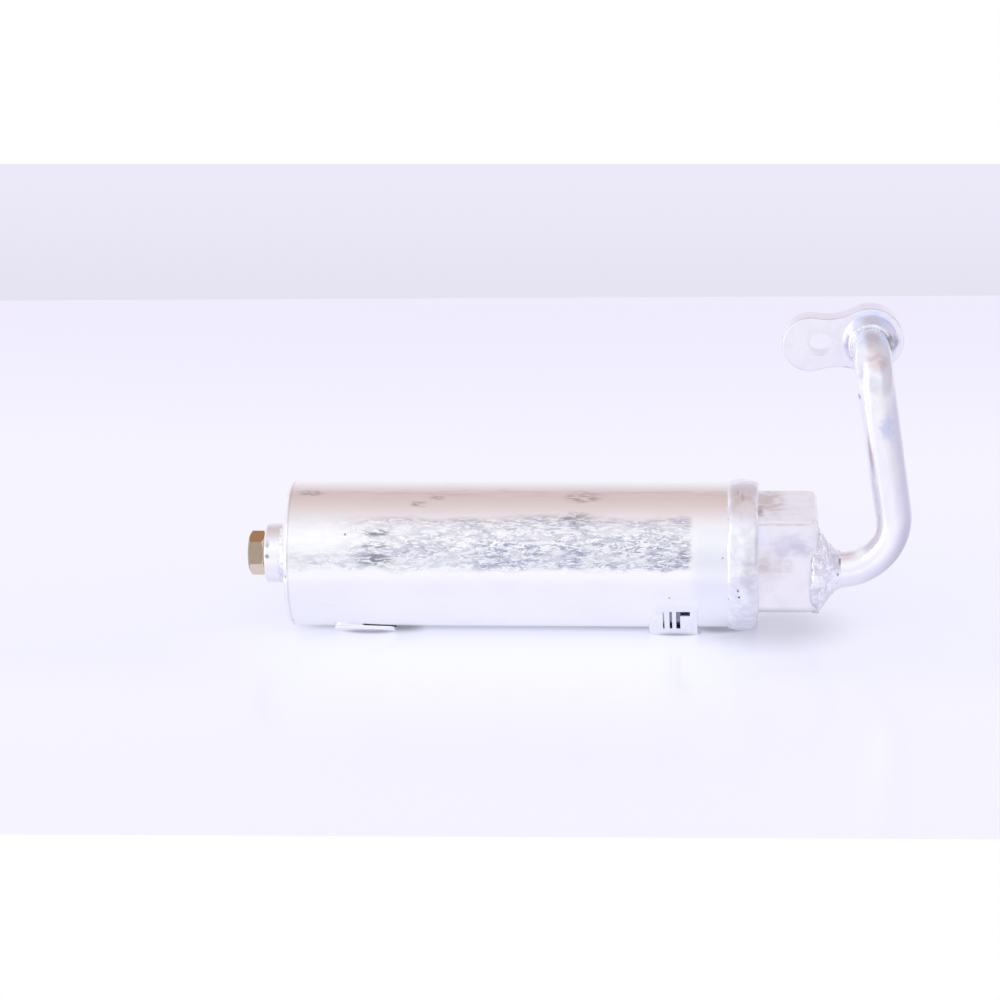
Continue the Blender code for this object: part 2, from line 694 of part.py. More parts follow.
def make_flange(pipe_end):
    """The peanut plate with its neck, turned a little about the pipe that it is brazed to."""
    plate = prism_mesh(peanut_outline(), FLANGE_THICKNESS, TO_FRONT, (0.0, FLANGE_THICKNESS, 0.0))
    flange = add_object("flange_plate", plate, aluminium)
    flange.location = (pipe_end.x, FLANGE_FRONT, pipe_end.z)
    flange.rotation_euler.y = -FLANGE_TILT
    edges = flange.modifiers.new("edges", "BEVEL")
    edges.width = FLANGE_EDGE
    edges.segments = 2
    edges.limit_method = "ANGLE"
    edges.angle_limit = math.radians(60)

    over = FLANGE_THICKNESS / 4
    neck = rods_mesh(
        [(0.0, over, 0.0)],
        (0, -1, 0),
        NECK_RADIUS + (NECK_RADIUS - NECK_TIP) * over / NECK_HEIGHT,
        NECK_HEIGHT + over,
        NECK_TIP,
        facets=RING_FACETS,
    )
    apply_tools(flange, "UNION", add_object("flange_neck", neck, parent=flange))
    through = FLANGE_THICKNESS + NECK_HEIGHT + 2 * over
    start = FLANGE_THICKNESS + over
    bore = rods_mesh([(0.0, start, 0.0)], (0, -1, 0), PIPE_RADIUS + FIT, through, facets=PIPE_FACETS)
    hole = rods_mesh([(-FLANGE_PITCH, start, 0.0)], (0, -1, 0), FLANGE_HOLE, through, facets=HOLE_FACETS)
    apply_tools(
        flange,
        "DIFFERENCE",
        add_object("flange_bore", bore, parent=flange),
        add_object("flange_bolt_hole", hole, parent=flange),
    )


def make_flange_rings(pipe_end):
    """The braze round the neck's mouth, and the seal on the nose behind the plate."""
    quarter = math.pi / 2
    braze = turned_mesh(wire_section(0.0, PIPE_RADIUS + FIT + BRAZE_WIRE, BRAZE_WIRE), RING_FACETS)
    ring = add_object("flange_braze", braze, weld_metal)
    ring.location = (pipe_end.x, FLANGE_FRONT - NECK_HEIGHT - FIT - BRAZE_WIRE, pipe_end.z)
    ring.rotation_euler.z = quarter
    seal = turned_mesh(wire_section(0.0, NOSE_RADIUS + FIT + SEAL_RING_WIRE, SEAL_RING_WIRE), RING_FACETS)
    ring = add_object("nose_seal", seal, rubber)
    ring.location = (pipe_end.x, FLANGE_BACK + BEAD_LENGTH + 2 * FIT + SEAL_RING_WIRE, pipe_end.z)
    ring.rotation_euler.z = quarter


def wing_path(radius, fold, tip, lip):
    """The (y, z) path of one wing at a radius from the axis, from the middle of the foot to its tip."""
    path = [(radius * math.tan(fold / 2), -radius)]
    steps = 5
    angles = [fold + (tip - fold) * step / steps for step in range(steps + 1)] if tip > fold else [fold]
    path += [(radius * math.sin(angle), -radius * math.cos(angle)) for angle in angles]
    if lip:
        y, z = path[-1]
        path.append((y + lip * math.cos(tip), z + lip * math.sin(tip)))
    return path


def cradle_outline(fold, tip, lip):
    """The section of a folded sheet under the canister: a flat foot with a wing up each flank."""
    inner = CANISTER_RADIUS + FIT
    outer = inner + SHEET
    inside = wing_path(inner, fold, tip, lip)
    outside = wing_path(outer, fold, tip, lip)
    half = list(reversed(inside)) + [(-y, z) for y, z in inside]
    return half + [(-y, z) for y, z in reversed(outside)] + outside


def plan_mesh(corners):
    """A tall prism over a plan view with rounded corners, to trim a sheet's edges."""
    height = 2 * CANISTER_RADIUS
    return prism_mesh(rounded(corners, SHEET_CORNER), height, UP, (0.0, 0.0, -height))


def make_lug_bracket():
    """A cradle whose front wing is a low rim with a taller tab, which has a slit, a slot and a hooked cut."""
    start = LUG_STATION - LUG_LENGTH / 2
    end = start + LUG_LENGTH
    sheet = prism_mesh(cradle_outline(LUG_FOLD, LUG_TIP, 0.0), LUG_LENGTH, ALONG_X, (start, 0.0, 0.0))
    bracket = add_object("lug_bracket", sheet, bracket_metal)
    reach = 2 * CANISTER_RADIUS
    fold = -(CANISTER_RADIUS + FIT) * math.tan(LUG_FOLD / 2)
    tab = end - TAB_LENGTH
    head = -(CANISTER_RADIUS + FIT) * math.cos(LUG_TIP) - SLOT_HEAD
    foot = -(CANISTER_RADIUS + FIT) + SLOT_FOOT

    def through(first, last, bottom):
        return box_mesh((tab + first, -reach, bottom), (tab + last, fold, head))

    cuts = {
        "lug_notch": box_mesh((start - FIT, -reach, LUG_RIM - AXIS_HEIGHT), (tab, fold, reach)),
        "lug_slit": through(SLIT_START, SLIT_START + SLIT_WIDTH, foot),
        "lug_slot": through(SLOT_START, SLOT_START + SLOT_WIDTH, foot),
        "lug_hook": through(HOOK_START, HOOK_START + HOOK_WIDTH, foot),
        "lug_hook_arm": through(HOOK_START, HOOK_START + HOOK_LENGTH, head - HOOK_ARM),
    }
    apply_tools(bracket, "DIFFERENCE", *(add_object(name, mesh) for name, mesh in cuts.items()))


def make_tongue_bracket():
    """A cradle whose lips stand off the canister, the front one cut on the slant."""
    start = TONGUE_STATION - TONGUE_LENGTH / 2
    end = start + TONGUE_LENGTH
    sheet = prism_mesh(
        cradle_outline(TONGUE_FOLD, TONGUE_FOLD, TONGUE_LIP), TONGUE_LENGTH, ALONG_X, (start, 0.0, 0.0)
    )
    bracket = add_object("tongue_bracket", sheet, bracket_metal)
    edge = (CANISTER_RADIUS + FIT) * math.sin(TONGUE_FOLD) + TONGUE_LIP * math.cos(TONGUE_FOLD)
    over = SHEET
    plan = [(start, edge + over), (start, -edge), (end, TONGUE_SLANT - edge), (end, edge + over)]
    apply_tools(bracket, "INTERSECT", add_object("tongue_plan", plan_mesh(plan)))


clear_scene()
frame = make_frame()
aluminium = make_material("aluminium", (0.83, 0.83, 0.85), 0.38, 1.0)
weld_metal = make_material("weld_metal", (0.78, 0.78, 0.8), 0.3, 1.0)
bracket_metal = make_material("bracket_metal", (0.8, 0.79, 0.78), 0.35, 1.0)
brass = make_material("brass", (0.68, 0.46, 0.2), 0.28, 1.0)
steel = make_material("pressed_steel", (0.5, 0.5, 0.51), 0.4, 1.0)
rubber = make_material("rubber", (0.03, 0.06, 0.05), 0.55, 0.0)
felt = make_material("felt", (0.72, 0.7, 0.64), 0.95, 0.0)
beads = make_material("desiccant", (0.73, 0.66, 0.52), 0.9, 0.0)

make_canister()
make_girth_weld()
make_plug_boss()
make_plug()
make_header()
make_pickup_tube()
make_inlet_screen()
make_retainer("lower_retainer", LOWER_PLATE, END_WALL + END_CORNER)
make_filling("lower_pad", LOWER_PAD, PAD_THICKNESS, felt)
make_filling("desiccant_charge", CHARGE_STATION, CHARGE_LENGTH, beads)
make_filling("upper_pad", UPPER_PAD, PAD_THICKNESS, felt)
make_retainer("upper_retainer", UPPER_PLATE, UPPER_PLATE + UPPER_SKIRT)
make_spring()
pipe_end = make_pipe()
make_pipe_weld()
make_flange(pipe_end)
make_flange_rings(pipe_end)
make_lug_bracket()
make_tongue_bracket()
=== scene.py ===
"""Looks of the receiver drier: smooth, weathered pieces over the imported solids, a glossy table, soft light.

Everything is in metres, in the part's own frame: X runs along the canister towards the header block, Z is
up and the viewer stands on the -Y side. The canister, the welds, the pipe and the round trims are built
again with finer meshes. The other solids keep their shape and get softened edges and better materials.
"""

import math

import bmesh
import bpy
from mathutils import Matrix, Vector, noise


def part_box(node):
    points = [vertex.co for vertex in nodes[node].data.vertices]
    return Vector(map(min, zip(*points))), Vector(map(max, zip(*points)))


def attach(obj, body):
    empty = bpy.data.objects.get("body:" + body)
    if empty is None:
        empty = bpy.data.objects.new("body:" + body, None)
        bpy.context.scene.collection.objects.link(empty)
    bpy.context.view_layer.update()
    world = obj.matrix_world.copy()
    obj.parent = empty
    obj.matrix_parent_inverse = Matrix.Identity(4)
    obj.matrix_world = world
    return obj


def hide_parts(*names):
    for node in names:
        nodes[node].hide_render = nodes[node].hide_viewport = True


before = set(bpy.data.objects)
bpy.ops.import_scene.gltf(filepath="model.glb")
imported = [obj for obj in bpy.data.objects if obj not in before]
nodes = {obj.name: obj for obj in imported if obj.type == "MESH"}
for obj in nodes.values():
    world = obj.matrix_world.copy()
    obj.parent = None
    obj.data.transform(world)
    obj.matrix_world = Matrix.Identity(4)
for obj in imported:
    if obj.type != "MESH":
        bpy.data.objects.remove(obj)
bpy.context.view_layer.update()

# Camera, fitted to the photograph
CAMERA_TARGET = Vector((-0.0606, 0.0, 0.0469))
CAMERA_DISTANCE = 1.1411
CAMERA_AZIMUTH = math.radians(4.354)
CAMERA_ELEVATION = math.radians(20.0)
CAMERA_ROLL = math.radians(-1.356)
CAMERA_LENS = 117.66  # mm
CAMERA_SENSOR = 36.0  # mm
CAMERA_RANGE = (0.05, 20.0)  # nearest and furthest that it sees

# Canister
CORNER = 0.0018
WALL = 0.0016
END_WALL = 0.003
PLUG_BORE = 0.0045
END_RING = 0.7  # share of the radius at which the flat end has one more ring of points

# Plug's boss
BOSS_RECESS = 0.0066  # radius of the shallow recess in its face
BOSS_RECESS_DEPTH = 0.002
BOSS_CHAMFER = 0.0008
BOSS_FILLET = 0.0036
BOSS_FILLET_ROOT = 0.0004  # how far the fillet starts inside the boss
LUMPS_ALONG = (0.00018, 0.004)  # (height, size) of the fillet's lumps along the axis
LUMPS_ACROSS = (0.0002, 0.003)

# Pipe. Its foot lies in front of the canister's axis and below it
PIPE_RADIUS = 0.00635
PIPE_BORE = 0.00505
PIPE_FRONT = 0.0044
PIPE_DROP = 0.0038
PIPE_START = 0.0076  # from the block's end to the lower bend
PIPE_INSET = 0.0092  # how far it starts inside the block
LOWER_BEND = 0.0185
UPPER_BEND = 0.014
PIPE_RISE = 0.0423
PIPE_LEAN = math.radians(8.2)
BEND_FLATTENING = 0.07
BEAD_RADIUS = 0.0082
BEAD_LENGTH = 0.0014
BEAD_GAP = 0.0003  # behind the flange
NOSE_RADIUS = 0.0056
NOSE_BORE = 0.005
NOSE_LEAD = 0.0006  # length of the taper at the nose's tip
NOSE_TAPER = 0.0004

# Cone of weld on the block's end
WELD_RADIUS = 0.015
WELD_OVERLAP = 0.0028
WELD_TOE = 0.0068
WELD_HOLLOW = 1.4
WELD_RIM = 0.0014  # rounding of its widest edge
WELD_ROOT = 0.0003  # how far it starts inside the pipe
WELD_LUMPS = ((0.0011, 0.0055), (0.0007, 0.0022))  # (height, size) of each set

# Girth weld
GIRTH_SEAT = 0.0004  # how far it starts inside the canister's surface
GIRTH_ROOT = 0.0006  # how much deeper its hidden foot lies
GIRTH_INSET = 0.0004  # how much narrower that foot is on each side
GIRTH_SWAY = 0.00035  # to and fro along the canister
GIRTH_SWELL = 0.00014  # of its height
GIRTH_SETBACK = 0.0001  # of its crown, which leaves room for the swell
LONG_FLANK = 0.42  # share of its width on the canister's side of its crown
TIGHT_SHOULDER = 0.6

# Facets round the turned and swept pieces
CANISTER_FACETS = 192
GIRTH_FACETS = 300
CONE_FACETS = 180
BOSS_FACETS = 128
FILLET_FACETS = 160
PIPE_FACETS = 72
RING_FACETS = 120
WIRE_FACETS = 16
TACK_FACETS = 12

# Shading
SHARP_ANGLE = math.radians(40)  # edges of the new meshes that are sharper stay crisp
BEVEL_ANGLE = math.radians(32)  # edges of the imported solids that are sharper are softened
MERGE_DISTANCE = 2e-6
FACE_WEIGHT = 80

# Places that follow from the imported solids
canister_low, canister_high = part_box("canister_shell")
block_low, block_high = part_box("header_block")
flange_low, flange_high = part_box("flange_plate")
AXIS_Z = (canister_low.z + canister_high.z) / 2
RADIUS = (canister_high.z - canister_low.z) / 2
CLOSED_END = canister_low.x
OPEN_END = canister_high.x
BLOCK_END = block_high.x
PIPE_Z = AXIS_Z - PIPE_DROP

# Lug bracket: its slotted tab, the painted shade on the canister behind that, and the turns of its wings'
# tips
TAB_LENGTH = 0.014
TAB_MIDDLE = 0.0014
TAB_TURN = math.radians(131)
TAB_TIP_TURN = math.radians(116)
RIM_TIP_TURN = math.radians(139.7)
WING_HEIGHT = 0.0015  # of the wings' outer side over the canister's

# The table is a sheet under the part, and all beyond it is the world's own colour
TABLE_FRONT = -0.1704
TABLE_BACK = 0.4068
TABLE_LEFT = -1.2
TABLE_RIGHT = 0.9
TABLE_TURN = math.radians(0.6)

# Painted shadows on the table by the brackets and the header, as (centre, radii, soft edge, strength)
FOOT_SHADES = (
    ((-0.096, -0.001, 0.0), (0.014, 0.009, 0.01), 0.8, 0.75),
    ((0.0165, -0.001, 0.0), (0.0165, 0.009, 0.01), 0.7, 0.66),
    ((0.035, -0.002, 0.0), (0.034, 0.03, 0.03), 0.8, 0.3),
    ((0.001, -0.006, 0.0), (0.0115, 0.0048, 0.01), 0.45, 0.6),
    ((-0.107, -0.005, 0.0), (0.0125, 0.0052, 0.01), 0.45, 0.55),
)

# Glow of the table, linear
GLOW = (0.63, 0.625, 0.74)
GLOW_FAR = (0.555, 0.53, 0.64)
GLOW_NEAR = (0.665, 0.65, 0.76)
# Painted light bounced off the part onto the table
PAINTED_BOUNCE_GLOW = (0.71, 0.71, 0.84)  # along the front of the part
# Tint of the painted shadow beneath the canister
PAINTED_SHADOW_TINT = (0.56, 0.6, 0.78)
TABLE_GLOSS = ((0.17, 0.18, 0.2), (0.19, 0.2, 0.22))

UP = Vector((0.0, 0.0, 1.0))
EVEN = (1.0, 1.0, 1.0)  # for a grain that is not stretched


def on_canister(x, turn, radius=RADIUS):
    """A point beside the axis. turn goes round from straight up towards the viewer."""
    return Vector((x, -radius * math.sin(turn), AXIS_Z + radius * math.cos(turn)))


def arc(centre, radius, start, end, steps):
    """Points from angle start to angle end, both included."""
    turns = [start + (end - start) * i / steps for i in range(steps + 1)]
    return [(centre[0] + radius * math.cos(t), centre[1] + radius * math.sin(t)) for t in turns]


def circle(radius, count):
    """Points evenly all round the origin."""
    return arc((0.0, 0.0), radius, 0.0, math.tau * (1 - 1 / count), count - 1)


def along(start, end, steps):
    """Evenly spaced (x, radius) points from start up to, and without, end."""
    return [tuple(Vector(start).lerp(Vector(end), i / steps)) for i in range(steps)]


def mesh_object(name, bm):
    """A smooth object made from a bmesh, with its faces turned outward."""
    bmesh.ops.recalc_face_normals(bm, faces=bm.faces)
    if bm.calc_volume(signed=True) < 0:
        bmesh.ops.reverse_faces(bm, faces=bm.faces)
    mesh = bpy.data.meshes.new(name)
    bm.to_mesh(mesh)
    bm.free()
    mesh.shade_smooth()
    mesh.set_sharp_from_angle(angle=SHARP_ANGLE)
    obj = bpy.data.objects.new(name, mesh)
    bpy.context.scene.collection.objects.link(obj)
    return obj


def skin(rings, closed=True):
    """One skin through rings of equal point counts, closed into a loop or with a face on each end."""
    bm = bmesh.new()
    made = [[bm.verts.new(point) for point in ring] for ring in rings]
    count = len(made[0])
    if not closed:
        bm.faces.new(made[0])
        bm.faces.new(made[-1])
    for first, second in zip(made, made[1:] + (made[:1] if closed else [])):
        for i in range(count):
            j = (i + 1) % count
            bm.faces.new((first[i], first[j], second[j], second[i]))
    return bm


def turned(profile, facets, centre_y=0.0, centre_z=AXIS_Z, shape=None):
    """A closed (x, radius) outline turned about a line along X. shape may move each (x, turn, radius)."""
    rings = []
    for x, radius in profile:
        ring = []
        for i in range(facets):
            turn = math.tau * i / facets
            here_x, here_radius = shape(x, turn, radius) if shape else (x, radius)
            y = centre_y - here_radius * math.sin(turn)
            ring.append((here_x, y, centre_z + here_radius * math.cos(turn)))
        rings.append(ring)
    return skin(rings)


def lumps(place, size, octaves=3):
    """Smooth noise between about -1 and 1, whose lumps measure about size."""
    return noise.fractal(Vector(place) / size, 1.0, 2.1, octaves, noise_basis="PERLIN_ORIGINAL")


def add_piece(piece, material):
    """Gives a new piece its material, on the part's only body."""
    piece.data.materials.append(material)
    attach(piece, "root")


def place_piece(piece, slot, material, *replaced):
    """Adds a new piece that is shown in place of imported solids."""
    add_piece(piece, material)
    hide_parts(*replaced)


# Node helpers for the materials


def put(tree, socket, value):
    """Links another node's output to the socket, or sets its value."""
    if isinstance(value, bpy.types.NodeSocket):
        tree.links.new(value, socket)
    else:
        socket.default_value = value


def add(tree, kind, inputs=None, **settings):
    """A new node with its settings made and its inputs linked or set, named or numbered."""
    made = tree.nodes.new(kind)
    for name, value in settings.items():
        setattr(made, name, value)
    for key, value in (inputs or {}).items():
        put(tree, made.inputs[key], value)
    return made


def calc(tree, operation, first, second=0.0):
    """One step of arithmetic on two values."""
    return add(tree, "ShaderNodeMath", {0: first, 1: second}, operation=operation).outputs[0]


def product(tree, *factors):
    """All the factors multiplied together."""
    total = factors[0]
    for factor in factors[1:]:
        total = calc(tree, "MULTIPLY", total, factor)
    return total


def span(tree, value, low, high, to_low=0.0, to_high=1.0):
    """The value carried smoothly from the range low..high to to_low..to_high, and held beyond it."""
    inputs = {"Value": value, "From Min": low, "From Max": high, "To Min": to_low, "To Max": to_high}
    return add(tree, "ShaderNodeMapRange", inputs, interpolation_type="SMOOTHSTEP").outputs[0]


def blend(tree, factor, first, second):
    """Two colours mixed by a factor."""
    made = add(tree, "ShaderNodeMix", data_type="RGBA", clamp_factor=True)
    put(tree, made.inputs[0], factor)
    for socket, colour in ((made.inputs[6], first), (made.inputs[7], second)):
        put(tree, socket, (*colour, 1.0) if isinstance(colour, tuple) else colour)
    return made.outputs[2]


def object_space(tree):
    """The object's own coordinates, from one node that the whole tree shares."""
    place = tree.nodes.get("place") or add(tree, "ShaderNodeTexCoord", name="place")
    return place.outputs["Object"]


def grain(tree, size, stretch=EVEN, detail=3.0, distortion=0.0, shift=(0.0, 0.0, 0.0)):
    """Noise in object space whose patches measure about size, longer along an axis stretched above 1."""
    scale = tuple(1.0 / (size * factor) for factor in stretch)
    inputs = {"Vector": object_space(tree), "Scale": scale, "Location": shift}
    moved = add(tree, "ShaderNodeMapping", inputs).outputs[0]
    inputs = {"Vector": moved, "Scale": 1.0, "Detail": detail, "Distortion": distortion}
    return add(tree, "ShaderNodeTexNoise", inputs).outputs[0]


def outline(tree, pattern, width):
    """1 along the lines where a pattern passes through its middle value, fading over width."""
    off_middle = calc(tree, "ABSOLUTE", calc(tree, "SUBTRACT", pattern, 0.5))
    return span(tree, off_middle, 0.0, width, 1.0, 0.0)


def spot(tree, centre, radii, edge):
    """1 in the middle of an ellipsoid and 0 outside it, fading over the outer share called edge."""
    inputs = {0: object_space(tree), 1: tuple(centre)}
    offset = add(tree, "ShaderNodeVectorMath", inputs, operation="SUBTRACT").outputs[0]
    inputs = {0: offset, 1: tuple(radii)}
    scaled = add(tree, "ShaderNodeVectorMath", inputs, operation="DIVIDE").outputs[0]
    length = add(tree, "ShaderNodeVectorMath", {0: scaled}, operation="LENGTH").outputs["Value"]
    return span(tree, length, 1.0 - edge, 1.0, 1.0, 0.0)


def coordinates(tree):
    """The x, y and z sockets of object space."""
    return add(tree, "ShaderNodeSeparateXYZ", {0: object_space(tree)}).outputs


def facing(tree, kind="Normal"):
    """The x, y and z sockets of the direction that the surface faces."""
    normal = add(tree, "ShaderNodeNewGeometry").outputs[kind]
    return add(tree, "ShaderNodeSeparateXYZ", {0: normal}).outputs


def relief(tree, shader, *layers):
    """Bumps of (height, depth in metres) laid over each other."""
    normal = None
    for height, depth in layers:
        bump = add(tree, "ShaderNodeBump", {"Height": height, "Distance": depth, "Strength": 1.0})
        if normal:
            put(tree, bump.inputs["Normal"], normal)
        normal = bump.outputs[0]
    put(tree, shader.inputs["Normal"], normal)


def new_material(name, metallic, roughness):
    """A material with its node tree and its shader."""
    material = bpy.data.materials.new(name)
    material.use_nodes = True
    shader = material.node_tree.nodes["Principled BSDF"]
    shader.inputs["Metallic"].default_value = metallic
    shader.inputs["Roughness"].default_value = roughness
    return material, material.node_tree, shader


# Colours, linear. A pair is mixed by the material's own grain
ALUMINIUM = (0.93, 0.93, 0.975)
ALUMINIUM_DRAWN = (0.975, 0.965, 0.98)
PIPE_DRAWN = (0.96, 0.945, 1.0)
ALUMINIUM_DULL = (0.66, 0.66, 0.74)
ALUMINIUM_BROWN = (0.6, 0.5, 0.47)
ALUMINIUM_GALLED = (0.24, 0.26, 0.42)
LAVENDER = (0.9, 0.88, 0.98)
BLOCK_TINT = (0.9, 0.875, 0.9)
TARNISH_AND_SHADE = (0.5, 0.48, 0.55)
RUBBED = (0.12, 0.12, 0.18)
SOOT = (0.07, 0.065, 0.08)
TAB_SHADE = (0.25, 0.255, 0.33)
BRACKET_SHEET = (0.945, 0.94, 0.97)
BRACKET_SEAM_PAINTED_SHADE = (0.895, 0.895, 0.945)
CREST_BROWN = (0.5, 0.38, 0.38)
PAINTED_DIMMING_TINT = (0.84, 0.85, 0.93)
BRASS = (0.43, 0.35, 0.26)
BRASS_PAINTED_SHADE_TOP = (0.5, 0.29, 0.13)
BRASS_SPOTS = (0.4, 0.27, 0.13)
BRASS_PAINTED_LIGHT_BELOW = (1.0, 0.84, 0.66)
BRASS_PAINTED_GLINT = (0.9, 0.8, 0.62)
STEEL = ((0.46, 0.46, 0.47), (0.58, 0.58, 0.6))
FELT = ((0.6, 0.57, 0.5), (0.8, 0.78, 0.72))
BEADS = ((0.8, 0.73, 0.6), (0.5, 0.43, 0.32))
RUBBER = ((0.02, 0.045, 0.035), (0.04, 0.075, 0.06))

# Stains and painted light, as (centre, radii, colour, strength)
PIPE_STAINS_AND_PAINTED_REFLECTION = (
    ((0.0728, -0.011, 0.077), (0.005, 0.006, 0.0085), (0.45, 0.51, 0.8), 0.55),
    ((0.0685, 0.003, 0.1055), (0.012, 0.0115, 0.0072), (0.72, 0.82, 1.0), 0.85),
    # Painted reflection: the brown patch on the upper bend
    ((0.07, -0.0072, 0.1004), (0.0095, 0.0082, 0.0074), (0.7, 0.59, 0.6), 0.85),
    ((0.0642, -0.0075, 0.0963), (0.0035, 0.006, 0.0075), (0.55, 0.58, 0.7), 0.45),
    ((0.0672, -0.0105, 0.0935), (0.0085, 0.0065, 0.009), (0.78, 0.77, 0.86), 0.8),
    ((0.0632, -0.0065, 0.0868), (0.0012, 0.004, 0.0022), SOOT, 1.0),
)
BLOCK_STAINS_AND_PAINTED_REFLECTIONS = (
    ((0.0345, -0.017, 0.0295), (0.0115, 0.004, 0.0105), (0.66, 0.6, 0.6), 0.6),
    ((0.031, -0.017, 0.0275), (0.0045, 0.004, 0.0065), ALUMINIUM_BROWN, 0.3),
    # Painted reflection of the girth weld, high on the front
    ((0.0308, -0.017, 0.0385), (0.0055, 0.004, 0.006), (0.86, 0.89, 1.0), 0.8),
    ((0.0405, -0.017, 0.036), (0.0155, 0.004, 0.0095), (0.66, 0.65, 0.76), 0.65),
    ((0.0435, -0.017, 0.0352), (0.0085, 0.004, 0.004), (0.52, 0.52, 0.64), 0.35),
    # The next two: painted reflection of the girth weld on the top, brown with a dark spot
    ((0.0325, 0.004, 0.0441), (0.0125, 0.026, 0.003), (0.6, 0.49, 0.45), 0.75),
    ((0.0298, -0.006, 0.0441), (0.0034, 0.0105, 0.003), (0.34, 0.28, 0.29), 0.75),
    ((0.0365, -0.0165, 0.0441), (0.019, 0.0016, 0.0011), (0.55, 0.42, 0.4), 0.4),
)
FLANGE_STAINS_AND_PAINTED_SHADE = (
    ((0.0685, 0.0135, 0.1075), (0.0115, 0.0065, 0.0075), (0.74, 0.82, 1.0), 0.95),
    # Painted shade dimming the highlight on the left of the neck
    ((0.0607, 0.0135, 0.1), (0.004, 0.0055, 0.0075), (0.6, 0.6, 0.7), 0.9),
    # Painted shade on the right of the neck
    ((0.0757, 0.0125, 0.0998), (0.0044, 0.0065, 0.0055), (0.42, 0.41, 0.5), 0.9),
    ((0.0592, 0.0154, 0.0895), (0.0035, 0.004, 0.0025), (0.55, 0.53, 0.6), 0.7),
)
WELD_SOOT_AND_PAINTED_SHADE = (
    ((0.0497, -0.015, 0.0391), (0.0016, 0.003, 0.0012), SOOT, 0.9),
    ((0.0518, -0.014, 0.0347), (0.0008, 0.003, 0.003), SOOT, 0.7),
    ((0.0575, -0.01, 0.028), (0.0009, 0.004, 0.002), SOOT, 0.8),
    ((0.0567, -0.01, 0.0239), (0.0009, 0.004, 0.0013), SOOT, 0.9),
    # Painted shade on the right of the braze ring at the flange
    ((0.0745, 0.01, 0.1015), (0.0036, 0.006, 0.0065), (0.28, 0.28, 0.34), 0.8),
)
GIRTH_STAINS_AND_PAINTED_SHADE = (
    # Painted shade over the right flank
    ((0.0272, -0.02, 0.032), (0.0048, 0.02, 0.022), (0.74, 0.73, 0.8), 0.7),
    ((0.0262, -0.026, 0.029), (0.006, 0.01, 0.0105), (0.62, 0.61, 0.68), 0.7),
    ((0.0223, -0.026, 0.0236), (0.0008, 0.003, 0.0011), SOOT, 1.0),
    ((0.0227, -0.026, 0.0209), (0.0007, 0.003, 0.0008), SOOT, 1.0),
    ((0.0245, -0.016, 0.0465), (0.006, 0.012, 0.009), (0.93, 0.93, 1.0), 0.8),
    ((0.0238, -0.009, 0.0512), (0.0012, 0.005, 0.0045), (0.5, 0.42, 0.44), 0.45),
    ((0.0222, -0.007, 0.052), (0.0007, 0.004, 0.0035), (0.5, 0.42, 0.44), 0.4),
)
# Painted shadow of the plug on the boss
PAINTED_PLUG_SHADOW = (
    ((-0.1421, -0.0083, 0.0334), (0.0016, 0.004, 0.0024), (0.42, 0.4, 0.52), 0.85),
    ((-0.1421, -0.0102, 0.0294), (0.0016, 0.004, 0.0015), (0.3, 0.29, 0.42), 0.85),
)

# Small dark marks, written as (distance from the closed end, turn in degrees, size)
CANISTER_MARKS = tuple(
    (on_canister(CLOSED_END + along_x, math.radians(turn)), (size, size, size), RUBBED, 0.7)
    for along_x, turn, size in (
        (0.0006, 88.5, 0.0016),
        (0.0013, 138.0, 0.0018),
        (0.0219, 54.4, 0.0007),
        (0.1336, 105.4, 0.0006),
        (0.1519, 72.0, 0.0007),
    )
)

# Darker rubs on the canister, as (distance from the closed end, turn in degrees, radii, strength)
RUBS = (
    (0.0325, 53, (0.0065, 0.003, 0.0016), 0.75),
    (0.0325, 64, (0.007, 0.003, 0.0014), 0.6),
    (0.032, 74, (0.0095, 0.003, 0.0034), 0.7),
    (0.1035, 19, (0.0085, 0.005, 0.0022), 0.45),
    (0.101, 41, (0.009, 0.005, 0.003), 0.5),
    (0.047, 27, (0.0042, 0.003, 0.0012), 0.45),
    (0.053, 20, (0.0035, 0.003, 0.001), 0.3),
    (0.0085, 14, (0.006, 0.003, 0.0014), 0.35),
    (0.139, 70, (0.003, 0.003, 0.003), 0.5),
)

# Dents near the closed end's rim, as (centre, radius, depth)
DENTS = (
    (on_canister(CLOSED_END + 0.0004, math.radians(88), RADIUS - 0.001), 0.0022, 0.0005),
    (on_canister(CLOSED_END + 0.001, math.radians(140), RADIUS - 0.0006), 0.0026, 0.0006),
)

# Section of the lug's seams, as (degrees above the wing's tip, height over the canister's side)
SEAM_SLOPE = (
    (-0.6, -0.0001),
    (-0.6, WING_HEIGHT + 0.00005),
    (0.2, WING_HEIGHT),
    (7.0, -0.0001),
)

# Tack weld on the tongue's lip, as (centre, radius)
TONGUE_TACK = (
    ((-0.1188, -0.0132, 0.005), 0.0002),
    ((-0.1176, -0.0144, 0.0057), 0.0006),
    ((-0.116, -0.0148, 0.0061), 0.0008),
    ((-0.1138, -0.0143, 0.0058), 0.0007),
    ((-0.111, -0.0137, 0.0054), 0.0005),
    ((-0.1085, -0.0132, 0.0049), 0.0001),
)

# Where the galled band fades in and out, by turn and along the canister
BAND_TOP = (math.radians(43), math.radians(50))
BAND_FOOT = (math.radians(84), math.radians(91))
BAND_START = (CLOSED_END + 0.014, CLOSED_END + 0.038)
BAND_STOP = (OPEN_END - 0.0185, OPEN_END - 0.0155)
BAND_WANDER = math.radians(12)

# The brownish streaks above it, by turn
CREST_TOP = (math.radians(14.5), math.radians(16.5))
CREST_FOOT = (math.radians(18), math.radians(26))

# Painted shade that dims the highlight next to the girth weld, by turn and along the canister
DIMMING_TOP = (math.radians(40), math.radians(55))
DIMMING_FOOT = (math.radians(92), math.radians(112))
DIMMING_START = (OPEN_END - 0.0185, OPEN_END - 0.0135)


